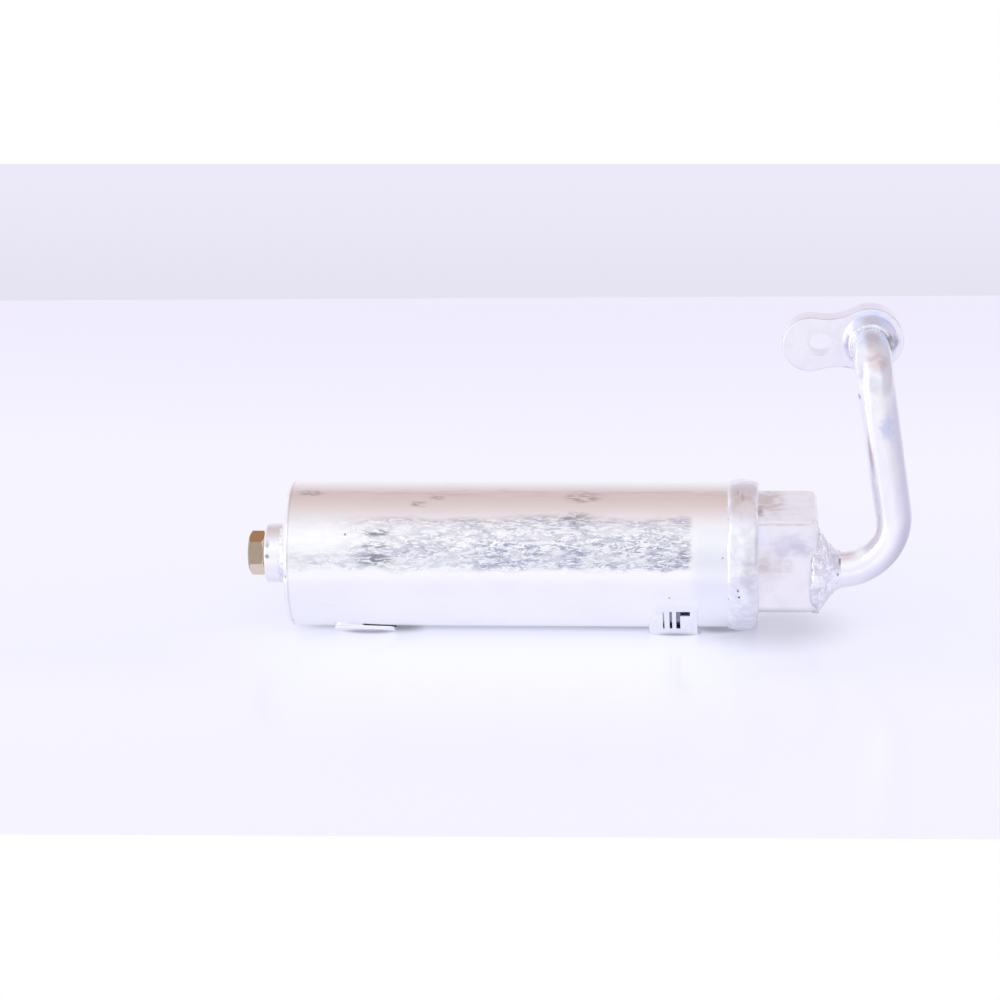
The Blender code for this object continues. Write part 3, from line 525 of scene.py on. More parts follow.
def overlaid(tree, colour, overlays):
    """The colour with ragged patches laid over it, each as (centre, radii, colour, strength)."""
    ragged = span(tree, grain(tree, 0.0025, (1.5, 1.0, 1.0), 5.0, 0.2), 0.3, 0.7, 0.6, 1.4)
    for centre, radii, overlay_colour, strength in overlays:
        patch = span(tree, product(tree, spot(tree, centre, radii, 0.95), ragged), 0.15, 0.95)
        colour = blend(tree, product(tree, patch, strength), colour, overlay_colour)
    return colour


def galled_band(tree, x, turn, edge):
    """1 where the canister's side is galled. edge is the turn with a wandering border."""
    top = span(tree, edge, *BAND_TOP)
    foot = span(tree, edge, *BAND_FOOT, 1.0, 0.0)
    early = span(tree, turn, math.radians(66), math.radians(74), 0.12, 0.55)
    start = span(tree, x, *BAND_START, early, 1.0)
    stop = span(tree, x, *BAND_STOP, 1.0, 0.0)
    return product(tree, product(tree, top, foot), product(tree, start, stop))


def galling(tree, x, turn, band, flakes):
    """How dark the band is: broken outlines of its flakes and scales, and hollows between them."""
    scales = grain(tree, 0.0011, (3.6, 1.0, 1.0), 1.5, 0.8, (3.0, 1.0, 2.0))
    cracks = calc(tree, "MAXIMUM", outline(tree, flakes, 0.08), outline(tree, scales, 0.07))
    gaps = grain(tree, 0.0016, (2.4, 1.0, 1.0), 1.0, 0.0, (1.0, 6.0, 3.0))
    lines = product(tree, cracks, span(tree, gaps, 0.4, 0.54, 0.35, 1.0))
    pores = grain(tree, 0.0013, (3.4, 1.0, 1.0), 3.0, 0.4, (8.0, 4.0, 0.0))
    hollows = span(tree, pores, 0.48, 0.62, 0.05, 0.65)

    low_side = span(tree, turn, math.radians(52), math.radians(66), 0.75, 1.0)
    far_side = span(tree, x, CLOSED_END + 0.05, CLOSED_END + 0.08, 0.85, 1.0)
    patches = span(tree, grain(tree, 0.006, (2.4, 1.0, 1.0), 2.0), 0.36, 0.54, 0.6, 1.0)
    strength = product(tree, product(tree, low_side, far_side), product(tree, band, patches))
    return product(tree, strength, calc(tree, "MAXIMUM", lines, hollows))


def rubbing(tree):
    """How much the canister is rubbed dark, in smears along its length."""
    rubs = 0.0
    for along_x, turn, radii, strength in RUBS:
        place = on_canister(CLOSED_END + along_x, math.radians(turn))
        rub = product(tree, spot(tree, place, radii, 0.7), strength)
        rubs = calc(tree, "MAXIMUM", rubs, rub)
    smear = grain(tree, 0.0007, (5.0, 1.0, 1.0), 2.0, 0.4, (5.0, 0.0, 1.0))
    return product(tree, rubs, span(tree, smear, 0.45, 0.54))


def canister_material():
    """Bare drawn aluminium, galled in a band along the viewer's side, with a few darker rubs, and painted
    shade by the girth weld and behind the lug's tab.
    """
    material, tree, shader = new_material("canister_aluminium", 1.0, 0.27)
    x, y, z = coordinates(tree)[:3]
    towards_viewer = product(tree, y, -1.0)
    turn = calc(tree, "ARCTAN2", towards_viewer, calc(tree, "SUBTRACT", z, AXIS_Z))
    wander = product(tree, grain(tree, 0.005, (2.5, 1.0, 1.0), 2.0), BAND_WANDER)
    edge = calc(tree, "ADD", turn, wander)
    flakes = grain(tree, 0.0016, (3.2, 1.0, 1.0), 1.5, 0.6)
    band = galled_band(tree, x, turn, edge)
    dark = galling(tree, x, turn, band, flakes)

    mottle = grain(tree, 0.012, (1.5, 1.0, 1.0), 3.0)
    streaks = grain(tree, 0.0012, (9.0, 1.0, 1.0), 2.0, 0.3, (7.0, 0.0, 1.0))
    crest = product(tree, span(tree, edge, *CREST_TOP), span(tree, edge, *CREST_FOOT, 1.0, 0.0))
    crest_streaks = product(tree, crest, span(tree, streaks, 0.4, 0.62, 0.25, 1.0))
    colour = blend(tree, span(tree, mottle, 0.35, 0.7, 0.0, 0.06), ALUMINIUM_DRAWN, ALUMINIUM_DULL)
    colour = blend(tree, span(tree, streaks, 0.6, 0.75, 0.0, 0.06), colour, ALUMINIUM_BROWN)
    colour = blend(tree, product(tree, crest_streaks, 0.2), colour, CREST_BROWN)
    colour = blend(tree, product(tree, dark, 0.8), colour, ALUMINIUM_GALLED)

    # Painted shade dimming the highlight next to the girth weld
    dimming_sides = product(tree, span(tree, turn, *DIMMING_TOP), span(tree, turn, *DIMMING_FOOT, 1.0, 0.4))
    painted_dimming = product(tree, span(tree, x, *DIMMING_START, 0.0, 0.7), dimming_sides)
    colour = blend(tree, painted_dimming, colour, PAINTED_DIMMING_TINT)
    colour = blend(tree, rubbing(tree), colour, RUBBED)
    colour = overlaid(tree, colour, CANISTER_MARKS)
    # A thin darker line where the rounded corner meets the side
    from_corner = calc(tree, "ABSOLUTE", calc(tree, "SUBTRACT", x, CLOSED_END + CORNER))
    colour = blend(tree, span(tree, from_corner, 0.0001, 0.0006, 0.3, 0.0), colour, TARNISH_AND_SHADE)
    # Painted shade on the canister in the gap behind the lug's slotted tab, weaker towards its left end
    painted_shade_behind_tab = spot(tree, on_canister(TAB_MIDDLE, TAB_TURN), (0.0062, 0.0075, 0.0075), 0.15)
    darker_side = span(tree, x, TAB_MIDDLE - 0.0055, TAB_MIDDLE - 0.0025, 0.6, 1.0)
    colour = blend(tree, product(tree, painted_shade_behind_tab, darker_side), colour, TAB_SHADE)

    put(tree, shader.inputs["Base Color"], colour)
    put(tree, shader.inputs["Roughness"], span(tree, dark, 0.0, 1.0, 0.27, 0.4))
    scratches = grain(tree, 0.0004, (14.0, 1.0, 1.0), 2.0)
    relief(tree, shader, (scratches, 0.000006), (product(tree, flakes, band), 0.00022))
    return material


def milled_material(name, line_axis, overlays, upper_tint, tint):
    """Machined aluminium: fine lines along one axis, patches of other tints and of painted light, and a
    different tint where it looks up.
    """
    material, tree, shader = new_material(name, 1.0, 0.3)
    stretch = tuple(16.0 if axis == line_axis else 1.0 for axis in "XYZ")
    lines = grain(tree, 0.00035, stretch, 2.0)
    mottle = grain(tree, 0.005, EVEN, 3.0, 0.4)
    upward = span(tree, facing(tree)[2], 0.3, 0.9)
    colour = blend(tree, upward, tint, upper_tint)
    colour = blend(tree, span(tree, mottle, 0.4, 0.75, 0.0, 0.14), colour, ALUMINIUM_DULL)
    colour = overlaid(tree, colour, overlays)
    put(tree, shader.inputs["Base Color"], colour)
    put(tree, shader.inputs["Roughness"], span(tree, mottle, 0.3, 0.7, 0.27, 0.34))
    relief(tree, shader, (lines, 0.00001), (mottle, 0.00002))
    return material


def pipe_material():
    """Drawn tube: painted shade on sides facing +X, a painted highlight on their outer edge, tinted spots and
    a painted reflection near the flange.
    """
    material, tree, shader = new_material("pipe_aluminium", 1.0, 0.22)
    outward = facing(tree)[0]
    height = coordinates(tree)[2]
    mottle = grain(tree, 0.005, (1.0, 1.0, 2.0), 3.0, 0.4)
    lines = grain(tree, 0.0005, (1.0, 1.0, 12.0), 2.0)
    colour = blend(tree, span(tree, mottle, 0.4, 0.7, 0.0, 0.12), PIPE_DRAWN, ALUMINIUM_DULL)
    # Painted shade on the sides facing +X, weaker towards the top
    fading_up = span(tree, height, 0.082, 0.094, 1.0, 0.45)
    darkening = product(tree, span(tree, outward, -0.05, 0.8, 0.0, 0.72), fading_up)
    colour = blend(tree, darkening, colour, TARNISH_AND_SHADE)
    # Painted highlight on the outermost edge of those sides
    colour = blend(tree, span(tree, outward, 0.86, 0.97, 0.0, 0.5), colour, ALUMINIUM)
    put(tree, shader.inputs["Base Color"], overlaid(tree, colour, PIPE_STAINS_AND_PAINTED_REFLECTION))
    put(tree, shader.inputs["Roughness"], span(tree, mottle, 0.35, 0.65, 0.2, 0.28))
    relief(tree, shader, (lines, 0.000008), (mottle, 0.00003))
    return material


def weld_material(name, size, depth, overlays):
    """Weld bead: bright, mottled metal with sooty pits, and ripples of about that size and depth."""
    material, tree, shader = new_material(name, 1.0, 0.26)
    ripples = grain(tree, size, EVEN, 2.0, 0.8)
    mottle = grain(tree, size * 2.6, EVEN, 3.0, 0.5, (4.0, 2.0, 7.0))
    pits = grain(tree, 0.0022, EVEN, 2.0, 0.2, (5.0, 5.0, 8.0))
    colour = blend(tree, span(tree, mottle, 0.42, 0.62, 0.0, 0.45), ALUMINIUM, ALUMINIUM_DULL)
    colour = blend(tree, span(tree, pits, 0.74, 0.8, 0.0, 0.8), colour, SOOT)
    put(tree, shader.inputs["Base Color"], overlaid(tree, colour, overlays))
    put(tree, shader.inputs["Roughness"], span(tree, mottle, 0.3, 0.7, 0.2, 0.34))
    relief(tree, shader, (ripples, depth), (mottle, depth * 2))
    return material


def bracket_material():
    """Pressed sheet, with painted shade making it a little darker along the seam over the lug's tab."""
    material, tree, shader = new_material("bracket_aluminium", 1.0, 0.3)
    rolled = grain(tree, 0.0004, (10.0, 1.0, 1.0), 2.0)
    mottle = grain(tree, 0.004, EVEN, 3.0)
    colour = blend(tree, span(tree, mottle, 0.4, 0.7, 0.0, 0.15), BRACKET_SHEET, ALUMINIUM_DULL)
    # Painted shade along the seam over the lug's tab
    seam = on_canister(0.003, TAB_TIP_TURN - math.radians(3.5))
    on_seam = spot(tree, seam, (0.012, 0.0034, 0.0034), 0.4)
    put(tree, shader.inputs["Base Color"], blend(tree, on_seam, colour, BRACKET_SEAM_PAINTED_SHADE))
    put(tree, shader.inputs["Roughness"], span(tree, mottle, 0.3, 0.7, 0.25, 0.38))
    relief(tree, shader, (rolled, 0.000012))
    return material


def brass_material():
    """Machined brass: painted shade dark orange where it looks up, dull towards the viewer's side, painted
    light pale below.
    """
    material, tree, shader = new_material("plug_brass", 1.0, 0.24)
    darkening = grain(tree, 0.0025, EVEN, 3.0, 0.3)
    cuts = grain(tree, 0.0002, (8.0, 1.0, 1.0), 2.0)
    inward, _, upward = facing(tree, "True Normal")[:3]
    # Painted light on the faces that look down
    below = span(tree, upward, -0.75, -0.45, 1.0, 0.0)
    spots = span(tree, darkening, 0.4, 0.65, 0.0, 0.35)
    spots = product(tree, spots, calc(tree, "SUBTRACT", 1.0, below))
    # Painted glint, pale and hardly metallic, on the chamfered edge that faces +X
    painted_glint = span(tree, inward, 0.15, 0.4)
    # Painted shade on the faces that look up
    colour = blend(tree, span(tree, upward, 0.45, 0.75), BRASS, BRASS_PAINTED_SHADE_TOP)
    colour = blend(tree, spots, colour, BRASS_SPOTS)
    colour = blend(tree, below, colour, BRASS_PAINTED_LIGHT_BELOW)
    colour = blend(tree, painted_glint, colour, BRASS_PAINTED_GLINT)
    put(tree, shader.inputs["Metallic"], span(tree, painted_glint, 0.0, 1.0, 1.0, 0.15))
    put(tree, shader.inputs["Base Color"], colour)
    put(tree, shader.inputs["Roughness"], span(tree, darkening, 0.35, 0.7, 0.2, 0.36))
    relief(tree, shader, (cuts, 0.00001), (darkening, 0.00002))
    return material


def steel_material():
    """Plain drawn steel."""
    material, tree, shader = new_material("pressed_steel", 1.0, 0.35)
    drawn = grain(tree, 0.0004, (8.0, 1.0, 1.0), 2.0)
    put(tree, shader.inputs["Base Color"], blend(tree, drawn, *STEEL))
    relief(tree, shader, (drawn, 0.00002))
    return material


def felt_material():
    """Pressed pale fibres."""
    material, tree, shader = new_material("felt", 0.0, 0.95)
    fibres = grain(tree, 0.0004, EVEN, 5.0, 2.0)
    put(tree, shader.inputs["Base Color"], blend(tree, fibres, *FELT))
    relief(tree, shader, (fibres, 0.0003))
    return material


def desiccant_material():
    """Packed round beads."""
    material, tree, shader = new_material("desiccant", 0.0, 0.9)
    inputs = {"Vector": object_space(tree), "Scale": 520.0}
    beads = add(tree, "ShaderNodeTexVoronoi", inputs).outputs[0]
    put(tree, shader.inputs["Base Color"], blend(tree, beads, *BEADS))
    relief(tree, shader, (calc(tree, "SUBTRACT", 1.0, beads), 0.0008))
    return material


def rubber_material():
    """Moulded dark green rubber with a faint bloom."""
    material, tree, shader = new_material("seal_rubber", 0.0, 0.5)
    bloom = grain(tree, 0.001, EVEN, 3.0)
    put(tree, shader.inputs["Base Color"], blend(tree, bloom, *RUBBER))
    relief(tree, shader, (bloom, 0.00003))
    return material


# Pieces that are built again


def make_canister(material):
    """The drawn shell, closed and rounded at the plug's end, with two small dents near that rim."""
    inner = RADIUS - WALL
    floor = CLOSED_END + END_WALL
    corner = arc((CLOSED_END + CORNER, RADIUS - CORNER), CORNER, math.pi, math.pi / 2, 10)
    profile = [
        (CLOSED_END, PLUG_BORE),
        (CLOSED_END, RADIUS * END_RING),
        *corner,
        *along((CLOSED_END + CORNER, RADIUS), (OPEN_END, RADIUS), 130)[1:],
        (OPEN_END, RADIUS),
        (OPEN_END, inner),
        (floor + CORNER, inner),
        (floor, inner - CORNER),
        (floor, PLUG_BORE),
    ]
    bm = turned(profile, CANISTER_FACETS)
    heart = Vector((CLOSED_END + RADIUS, 0.0, AXIS_Z))
    for centre, radius, depth in DENTS:
        inward = (heart - centre).normalized()
        for vert in bm.verts:
            share = (vert.co - centre).length / radius
            if share < 1.0:
                vert.co += inward * depth * (1.0 - share**2) ** 2
    place_piece(mesh_object("canister_skin", bm), "bare_aluminium", material, "canister_shell")


def make_girth_weld(material):
    """A fat bead whose height and flanks wander as it goes round."""
    low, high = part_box("girth_weld")
    crown = (high.z - low.z) / 2
    seat = RADIUS - GIRTH_SEAT

    def shape(x, turn, radius):
        share = (radius - seat) / (crown - seat)
        sway = GIRTH_SWAY * lumps((math.cos(turn), math.sin(turn), 0.0), 0.3)
        swell = GIRTH_SWELL * lumps(on_canister(x, turn), 0.008, 2) - GIRTH_SETBACK
        return x + sway, radius + share * swell

    top = low.x + LONG_FLANK * (high.x - low.x)
    profile = []
    for c, s in arc((0.0, 0.0), 1.0, math.pi, 0.0, 30):
        reach = top - low.x if c < 0 else high.x - top
        shoulder = 1.0 if c < 0 else TIGHT_SHOULDER
        away = math.copysign(abs(c) ** shoulder, c)
        profile.append((top + reach * away, seat + (crown - seat) * abs(s) ** shoulder))
    profile.append((high.x - GIRTH_INSET, seat - GIRTH_ROOT))
    profile.append((low.x + GIRTH_INSET, seat - GIRTH_ROOT))
    piece = mesh_object("girth_weld_bead", turned(profile, GIRTH_FACETS, shape=shape))
    place_piece(piece, "weld_metal", material, "girth_weld")


def make_pipe_weld(material):
    """The cone of weld on the block's end, lumpy and lapping over the block's edges."""
    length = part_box("pipe_weld")[1].x - BLOCK_END
    start = BLOCK_END - WELD_OVERLAP
    inner = PIPE_RADIUS - WELD_ROOT
    shoulder = WELD_RADIUS - WELD_RIM

    def shape(x, turn, radius):
        place = Vector((x, -radius * math.sin(turn), radius * math.cos(turn)))
        share = (radius - inner) / (WELD_RADIUS - inner)
        lump = sum(height * lumps(place, size, 2) for height, size in WELD_LUMPS)
        return x + 0.5 * share * lump, radius + share * lump

    profile = along((start, inner), (start, shoulder), 4)
    profile += arc((start + WELD_RIM, shoulder), WELD_RIM, math.pi, math.pi / 2, 5)
    steps = 44
    for i in range(1, steps + 1):
        share = i / steps
        radius = WELD_TOE + (WELD_RADIUS - WELD_TOE) * (1 - share) ** WELD_HOLLOW
        profile.append((BLOCK_END + length * share, radius))
    profile.append((BLOCK_END + length, inner))
    bm = turned(profile, CONE_FACETS, -PIPE_FRONT, PIPE_Z, shape)
    place_piece(mesh_object("pipe_weld_cone", bm), "weld_metal", material, "pipe_weld")


def make_boss(boss_material, fillet_material):
    """The plug's boss, chamfered, and the hollow fillet of weld round its foot."""
    low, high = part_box("plug_boss")
    radius = (high.z - low.z) / 2
    floor = low.x + BOSS_RECESS_DEPTH
    corner = (low.x + BOSS_CHAMFER, radius - BOSS_CHAMFER)
    profile = [
        (low.x, BOSS_RECESS),
        *arc(corner, BOSS_CHAMFER, math.pi, math.pi / 2, 4),
        (high.x, radius),
        (high.x, PLUG_BORE),
        (floor, PLUG_BORE),
        (floor, BOSS_RECESS),
    ]
    boss = mesh_object("plug_boss_turned", turned(profile, BOSS_FACETS))
    place_piece(boss, "bare_aluminium", boss_material, "plug_boss")

    def shape(x, turn, here):
        place = Vector((x, here * math.sin(turn), here * math.cos(turn)))
        shift, swell = (height * lumps(place, size) for height, size in (LUMPS_ALONG, LUMPS_ACROSS))
        return x + shift, here + swell

    front = CLOSED_END - BOSS_FILLET
    root = radius - BOSS_FILLET_ROOT
    hollow = arc((front, radius + BOSS_FILLET), BOSS_FILLET, 0.0, -math.pi / 2, 14)
    profile = [(CLOSED_END, root), *hollow, (front, root)]
    fillet = mesh_object("boss_weld_fillet", turned(profile, FILLET_FACETS, shape=shape))
    place_piece(fillet, "weld_metal", fillet_material, "boss_weld")


def bend(pivot, radius, ahead, beyond, sweep, steps):
    """Places round a bend from ahead towards beyond, as (centre, direction outward, flattening)."""
    places = []
    for i in range(steps + 1):
        turn = sweep * i / steps
        outward = math.sin(turn) * ahead - math.cos(turn) * beyond
        flat = BEND_FLATTENING * math.sin(math.pi * i / steps)
        places.append((pivot + radius * outward, outward, flat))
    return places


def pipe_places():
    """Each place along the pipe: its centre, two directions across it, and the scale along each."""
    out = Vector((1.0, 0.0, 0.0))
    back = Vector((0.0, 1.0, 0.0))
    start = Vector((BLOCK_END - PIPE_INSET, -PIPE_FRONT, PIPE_Z))
    places = [(start, -UP, back, 1.0, 1.0)]
    pivot = Vector((BLOCK_END + PIPE_START, -PIPE_FRONT, PIPE_Z + LOWER_BEND))
    for centre, outward, flat in bend(pivot, LOWER_BEND, out, UP, math.pi / 2 + PIPE_LEAN, 40):
        places.append((centre, outward, back, 1 - flat, 1 + flat / 2))
    foot = places[-1][0]
    upward = Vector((-math.sin(PIPE_LEAN), 0.0, math.cos(PIPE_LEAN)))
    side = Vector((math.cos(PIPE_LEAN), 0.0, math.sin(PIPE_LEAN)))
    steps = 16
    for i in range(1, steps):
        places.append((foot + PIPE_RISE * upward * i / steps, side, back, 1.0, 1.0))
    pivot = foot + PIPE_RISE * upward + UPPER_BEND * back
    for centre, outward, flat in bend(pivot, UPPER_BEND, upward, back, math.pi / 2, 28):
        places.append((centre, side, -outward, 1 + flat / 2, 1 - flat))
    return places


def make_pipe(material):
    """The bent pipe, its upset bead behind the flange and its nose, open from end to end."""
    places = pipe_places()
    last = places[-1]
    bead = flange_high.y + BEAD_GAP
    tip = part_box("inlet_pipe")[1].y
    rounding = BEAD_LENGTH / 2
    bead_outline = arc((bead + rounding, BEAD_RADIUS - rounding), rounding, math.pi, 0.0, 10)
    nose_outline = [
        (bead - 0.0001, PIPE_RADIUS),
        *bead_outline,
        (bead + BEAD_LENGTH, NOSE_RADIUS),
        (tip - NOSE_LEAD, NOSE_RADIUS),
        (tip, NOSE_RADIUS - NOSE_TAPER),
        (tip, NOSE_BORE),
    ]

    def ring(place, radius):
        centre, first, second, first_scale, second_scale = place
        points = circle(radius, PIPE_FACETS)
        return [centre + first * x * first_scale + second * y * second_scale for x, y in points]

    rings = [ring(place, PIPE_RADIUS) for place in places]
    for y, radius in nose_outline:
        rings.append(ring((Vector((last[0].x, y, last[0].z)), *last[1:]), radius))
    rings += [ring(place, PIPE_BORE) for place in reversed(places)]
    tube = mesh_object("inlet_pipe_tube", skin(rings))
    place_piece(tube, "bare_aluminium", material, "inlet_pipe")


def make_ring(name, node, slot, material, swollen=1.0, roughened=0.0):
    """A ring of round section in place of the node's, about the pipe's far end and swollen inward."""
    low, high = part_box(node)
    wire = (high.y - low.y) / 2
    centre = (low + high) / 2
    radius = (high.x - low.x) / 2 - wire * swollen
    rings = []
    for i in range(RING_FACETS):
        turn = math.tau * i / RING_FACETS
        outward = Vector((math.cos(turn), 0.0, math.sin(turn)))
        here = wire * swollen * (1.0 + roughened * lumps(centre + outward * radius, 0.002, 2))
        section = circle(here, WIRE_FACETS)
        rings.append([centre + outward * (radius + a) + Vector((0.0, b, 0.0)) for a, b in section])
    place_piece(mesh_object(name, skin(rings)), slot, material, node)


def make_lug_seam(name, start, end, turn, material):
    """A long fillet from the tip of a bracket's wing, at its turn, up to the canister's side."""
    rings = []
    for x in (start, end):
        section = [(turn - math.radians(above), RADIUS + height) for above, height in SEAM_SLOPE]
        rings.append([on_canister(x, here, radius) for here, radius in section])
    add_piece(mesh_object(name, skin(rings, closed=False)), material)


def make_tongue_tack(material):
    """A tack weld along the raised corner of the tongue's lip, thinning out at both ends."""
    rings = []
    for place, radius in TONGUE_TACK:
        section = circle(radius, TACK_FACETS)
        rings.append([Vector(place) + Vector((0.0, a, b)) for a, b in section])
    add_piece(mesh_object("tongue_tack", skin(rings, closed=False)), material)


def dress_solid(node, material, edge=0.0):
    """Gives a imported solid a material, smooth shading and, where edge is above 0, softened edges."""
    obj = nodes[node]
    mesh = obj.data
    mesh.materials.clear()
    mesh.materials.append(material)
    normals = mesh.attributes.get("custom_normal")
    if normals:
        mesh.attributes.remove(normals)
    mesh.shade_smooth()
    weld = obj.modifiers.new("weld", "WELD")
    weld.merge_threshold = MERGE_DISTANCE
    if edge:
        bevel = obj.modifiers.new("edges", "BEVEL")
        bevel.width = edge
        bevel.segments = 2
        bevel.limit_method = "ANGLE"
        bevel.angle_limit = BEVEL_ANGLE
    weighted = obj.modifiers.new("normals", "WEIGHTED_NORMAL")
    weighted.keep_sharp = False
    weighted.weight = FACE_WEIGHT


# Stage


def make_camera():
    """The photograph's viewpoint."""
    flat = math.cos(CAMERA_ELEVATION)
    x, y = math.sin(CAMERA_AZIMUTH) * flat, -math.cos(CAMERA_AZIMUTH) * flat
    toward = Vector((x, y, math.sin(CAMERA_ELEVATION)))
    right = Vector((math.cos(CAMERA_AZIMUTH), math.sin(CAMERA_AZIMUTH), 0.0))
    up = toward.cross(right)
    right, up = (
        math.cos(CAMERA_ROLL) * right + math.sin(CAMERA_ROLL) * up,
        math.cos(CAMERA_ROLL) * up - math.sin(CAMERA_ROLL) * right,
    )
    data = bpy.data.cameras.new("camera")
    data.lens = CAMERA_LENS
    data.sensor_width = CAMERA_SENSOR
    data.clip_start, data.clip_end = CAMERA_RANGE
    camera = bpy.data.objects.new("camera", data)
    place = Matrix.Translation(CAMERA_TARGET + toward * CAMERA_DISTANCE)
    camera.matrix_world = place @ Matrix((right, up, toward)).transposed().to_4x4()
    bpy.context.scene.collection.objects.link(camera)
    bpy.context.scene.camera = camera


def make_table():
    """The sheet that the part stands on."""
    corners = (
        (TABLE_LEFT, TABLE_FRONT),
        (TABLE_RIGHT, TABLE_FRONT),
        (TABLE_RIGHT, TABLE_BACK),
        (TABLE_LEFT, TABLE_BACK),
    )
    bm = bmesh.new()
    for x, y in corners:
        bm.verts.new(Matrix.Rotation(TABLE_TURN, 3, "Z") @ Vector((x, y, 0.0)))
    bm.faces.new(bm.verts)
    table = mesh_object("table", bm)
    table.data.materials.append(table_material())


def table_material():
    """Glossy, pale lilac and lit from inside, with painted shadows by the part and painted light along its
    front.
    """
    material, tree, shader = new_material("table_gloss", 0.0, 0.2)
    x, y = coordinates(tree)[:2]
    haze = grain(tree, 0.4, EVEN, 2.0)
    put(tree, shader.inputs["Base Color"], blend(tree, haze, *TABLE_GLOSS))

    light = blend(tree, span(tree, y, 0.12, TABLE_BACK), GLOW, GLOW_FAR)
    light = blend(tree, span(tree, y, -0.07, -0.03, 1.0, 0.0), light, GLOW_NEAR)
    # Painted light bounced off the part along its front
    left_end = span(tree, x, CLOSED_END - 0.05, CLOSED_END + 0.04)
    right_end = span(tree, x, OPEN_END - 0.03, OPEN_END + 0.03, 1.0, 0.0)
    front = product(tree, span(tree, y, -0.085, -0.03), span(tree, y, -0.013, -0.001, 1.0, 0.0))
    painted_bounce = product(tree, product(tree, left_end, right_end), front)
    light = blend(tree, painted_bounce, light, PAINTED_BOUNCE_GLOW)

    # Painted shadow in the gap beneath the canister, tinted blue and darker towards the lug
    near_axis = span(tree, calc(tree, "ABSOLUTE", y), 0.001, 0.0072, 1.0, 0.0)
    left_foot = span(tree, x, CLOSED_END - 0.001, CLOSED_END + 0.012)
    right_foot = span(tree, x, OPEN_END + 0.002, OPEN_END + 0.012, 1.0, 0.0)
    painted_shadow_under = product(tree, near_axis, product(tree, left_foot, right_foot))
    light = blend(tree, product(tree, painted_shadow_under, 0.5), light, PAINTED_SHADOW_TINT)
    shade = product(tree, painted_shadow_under, span(tree, x, -0.06, 0.0, 0.42, 0.55))
    # Painted shadows by the brackets and beneath the header
    for centre, radii, edge, strength in FOOT_SHADES:
        foot = product(tree, spot(tree, centre, radii, edge), strength)
        shade = calc(tree, "MAXIMUM", shade, foot)
    put(tree, shader.inputs["Emission Color"], light)
    put(tree, shader.inputs["Emission Strength"], calc(tree, "SUBTRACT", 1.0, shade))
    shader.inputs["IOR"].default_value = 1.45
    return material


# The world's colour above level, by the turn in degrees from straight up towards the viewer's side
SKY = (
    (-90, (0.92, 0.9, 0.97)),
    (-72, (0.9, 0.87, 0.95)),
    (-56, (0.77, 0.69, 0.73)),
    (-42, (0.66, 0.545, 0.55)),
    (-28, (0.68, 0.545, 0.49)),
    (-12, (0.75, 0.635, 0.62)),
    (2, (0.8, 0.715, 0.73)),
    (14, (0.88, 0.835, 0.9)),
    (26, (0.97, 0.97, 1.0)),
    (55, (1.04, 1.04, 1.06)),
    (70, (0.92, 0.93, 0.99)),
    (90, (0.88, 0.9, 0.99)),
)
SKY_LEFT = (0.93, 0.92, 0.98)
SKY_RIGHT = (0.74, 0.71, 0.8)
WALL_FOOT = (0.785, 0.768, 0.88)
WALL_HEAD = (0.842, 0.822, 0.94)
WALL_LOW = -0.305  # slope, down over out, of the ray to the wall's foot, which the table hides
WALL_HIGH = -0.2528
WALL_TILT = 0.0051
FLOOR = (1.0, 1.0, 1.0)


def make_world():
    """White below level, a square room's pale grey walls past the table, and a studio's tones above."""
    world = bpy.data.worlds.new("studio")
    bpy.context.scene.world = world
    world.use_nodes = True
    tree = world.node_tree
    place = add(tree, "ShaderNodeTexCoord")
    x, y, z = add(tree, "ShaderNodeSeparateXYZ", {0: place.outputs["Generated"]}).outputs[:3]
    turn = calc(tree, "ARCTAN2", product(tree, y, -1.0), z)
    inputs = {"Value": turn, "From Min": -math.pi / 2, "From Max": math.pi / 2}
    share = add(tree, "ShaderNodeMapRange", inputs).outputs[0]
    ramp = add(tree, "ShaderNodeValToRGB", {"Fac": share})
    stops = ramp.color_ramp.elements
    while len(stops) < len(SKY):
        stops.new(1.0)
    for stop, (degrees, colour) in zip(stops, SKY):
        stop.position = (degrees + 90) / 180
        stop.color = (*colour, 1.0)
    sky = blend(tree, span(tree, x, 0.3, 0.7), ramp.outputs[0], SKY_RIGHT)
    sky = blend(tree, span(tree, x, -0.6, -0.2, 1.0, 0.0), sky, SKY_LEFT)

    out = calc(tree, "MAXIMUM", calc(tree, "ABSOLUTE", x), calc(tree, "ABSOLUTE", y))
    slope = calc(tree, "DIVIDE", calc(tree, "ADD", z, product(tree, x, WALL_TILT)), out)
    over_foot = calc(tree, "GREATER_THAN", slope, WALL_LOW)
    under_head = calc(tree, "LESS_THAN", slope, WALL_HIGH)
    shade = blend(tree, span(tree, slope, WALL_LOW, WALL_HIGH), WALL_FOOT, WALL_HEAD)
    wall = blend(tree, product(tree, over_foot, under_head), FLOOR, shade)
    colour = blend(tree, calc(tree, "GREATER_THAN", z, 0.0), wall, sky)
    put(tree, tree.nodes["Background"].inputs["Color"], colour)


# Lamps, as (name, place, target, width, depth, power, whether it shows only in reflections)
LAMPS = (
    ("softbox", (-0.05, -0.55, 1.0), (-0.05, 0.05, 0.0), 1.3, 0.8, 3.0, False),
    ("front_glint", (-0.05, -0.75, 0.85), (-0.05, 0.0, 0.03), 1.3, 0.5, 0.06, True),
    ("left_glint", (-0.9, -0.55, 0.3), (0.03, 0.0, 0.06), 0.35, 1.2, 1.7, True),
)


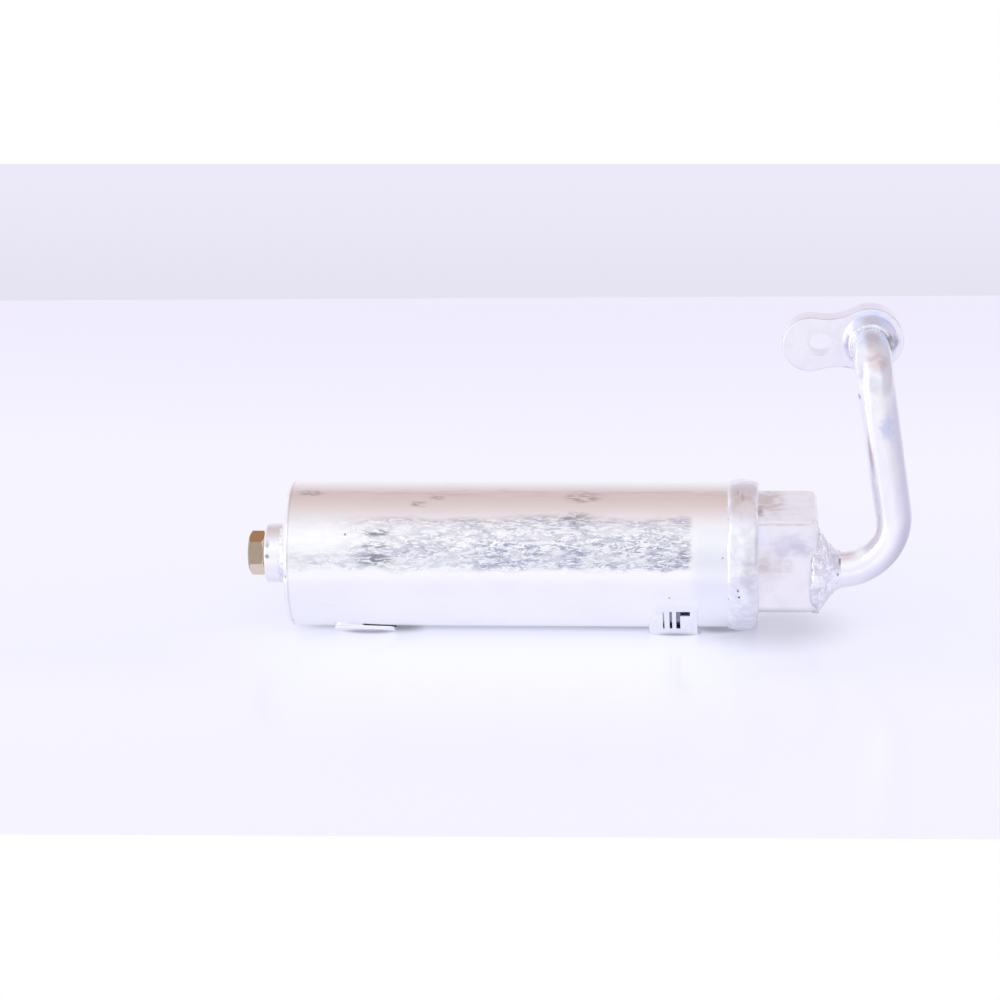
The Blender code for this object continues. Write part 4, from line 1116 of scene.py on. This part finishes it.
def make_lamp(name, place, target, width, depth, power, in_reflections):
    """A soft rectangular lamp that faces its target, and either shows only in reflections or never does."""
    data = bpy.data.lights.new(name, "AREA")
    data.shape = "RECTANGLE"
    data.size = width
    data.size_y = depth
    data.energy = power
    lamp = bpy.data.objects.new(name, data)
    lamp.location = place
    lamp.visible_camera = False
    lamp.visible_diffuse = not in_reflections
    lamp.visible_glossy = in_reflections
    lamp.rotation_euler = (Vector(target) - Vector(place)).to_track_quat("-Z", "Y").to_euler()
    bpy.context.scene.collection.objects.link(lamp)


# Main
canister_metal = canister_material()
girth_metal = weld_material("girth_weld_aluminium", size=0.0024, depth=0.000012, overlays=GIRTH_STAINS_AND_PAINTED_SHADE)
weld_metal = weld_material("weld_aluminium", size=0.0016, depth=0.0003, overlays=WELD_SOOT_AND_PAINTED_SHADE)
block_metal = milled_material("block_aluminium", "X", BLOCK_STAINS_AND_PAINTED_REFLECTIONS, ALUMINIUM, BLOCK_TINT)
boss_metal = milled_material("boss_aluminium", "X", PAINTED_PLUG_SHADOW, ALUMINIUM, ALUMINIUM_DRAWN)
flange_metal = milled_material("flange_aluminium", "Z", FLANGE_STAINS_AND_PAINTED_SHADE, LAVENDER, LAVENDER)
pipe_metal = pipe_material()
bracket_metal = bracket_material()
brass = brass_material()
steel = steel_material()
felt = felt_material()
rubber = rubber_material()

make_camera()
make_canister(canister_metal)
make_girth_weld(girth_metal)
make_pipe_weld(weld_metal)
make_boss(boss_metal, weld_metal)
make_pipe(pipe_metal)
lug_low, lug_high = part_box("lug_bracket")
tab_low = lug_high.x - TAB_LENGTH
make_lug_seam("tab_seam", tab_low, lug_high.x, TAB_TIP_TURN, bracket_metal)
make_lug_seam("rim_seam", lug_low.x, tab_low, RIM_TIP_TURN, bracket_metal)
make_tongue_tack(bracket_metal)
make_ring("flange_braze_ring", "flange_braze", "weld_metal", weld_metal, swollen=1.5, roughened=0.12)
make_ring("nose_seal_ring", "nose_seal", "seal_rubber", rubber)
dress_solid("header_block", block_metal, edge=0.00035)
dress_solid("flange_plate", flange_metal, edge=0.0003)
dress_solid("fusible_plug", brass, edge=0.00012)
dress_solid("lug_bracket", bracket_metal, edge=0.00018)
dress_solid("tongue_bracket", bracket_metal, edge=0.00018)
dress_solid("plug_seal", rubber)
dress_solid("pickup_tube", flange_metal)
for hidden in ("lower_retainer", "upper_retainer", "inlet_screen", "charge_spring"):
    dress_solid(hidden, steel)
for pad in ("lower_pad", "upper_pad"):
    dress_solid(pad, felt)
dress_solid("desiccant_charge", desiccant_material())

make_table()
make_world()
for lamp in LAMPS:
    make_lamp(*lamp)
bpy.context.scene.view_settings.view_transform = "Standard"
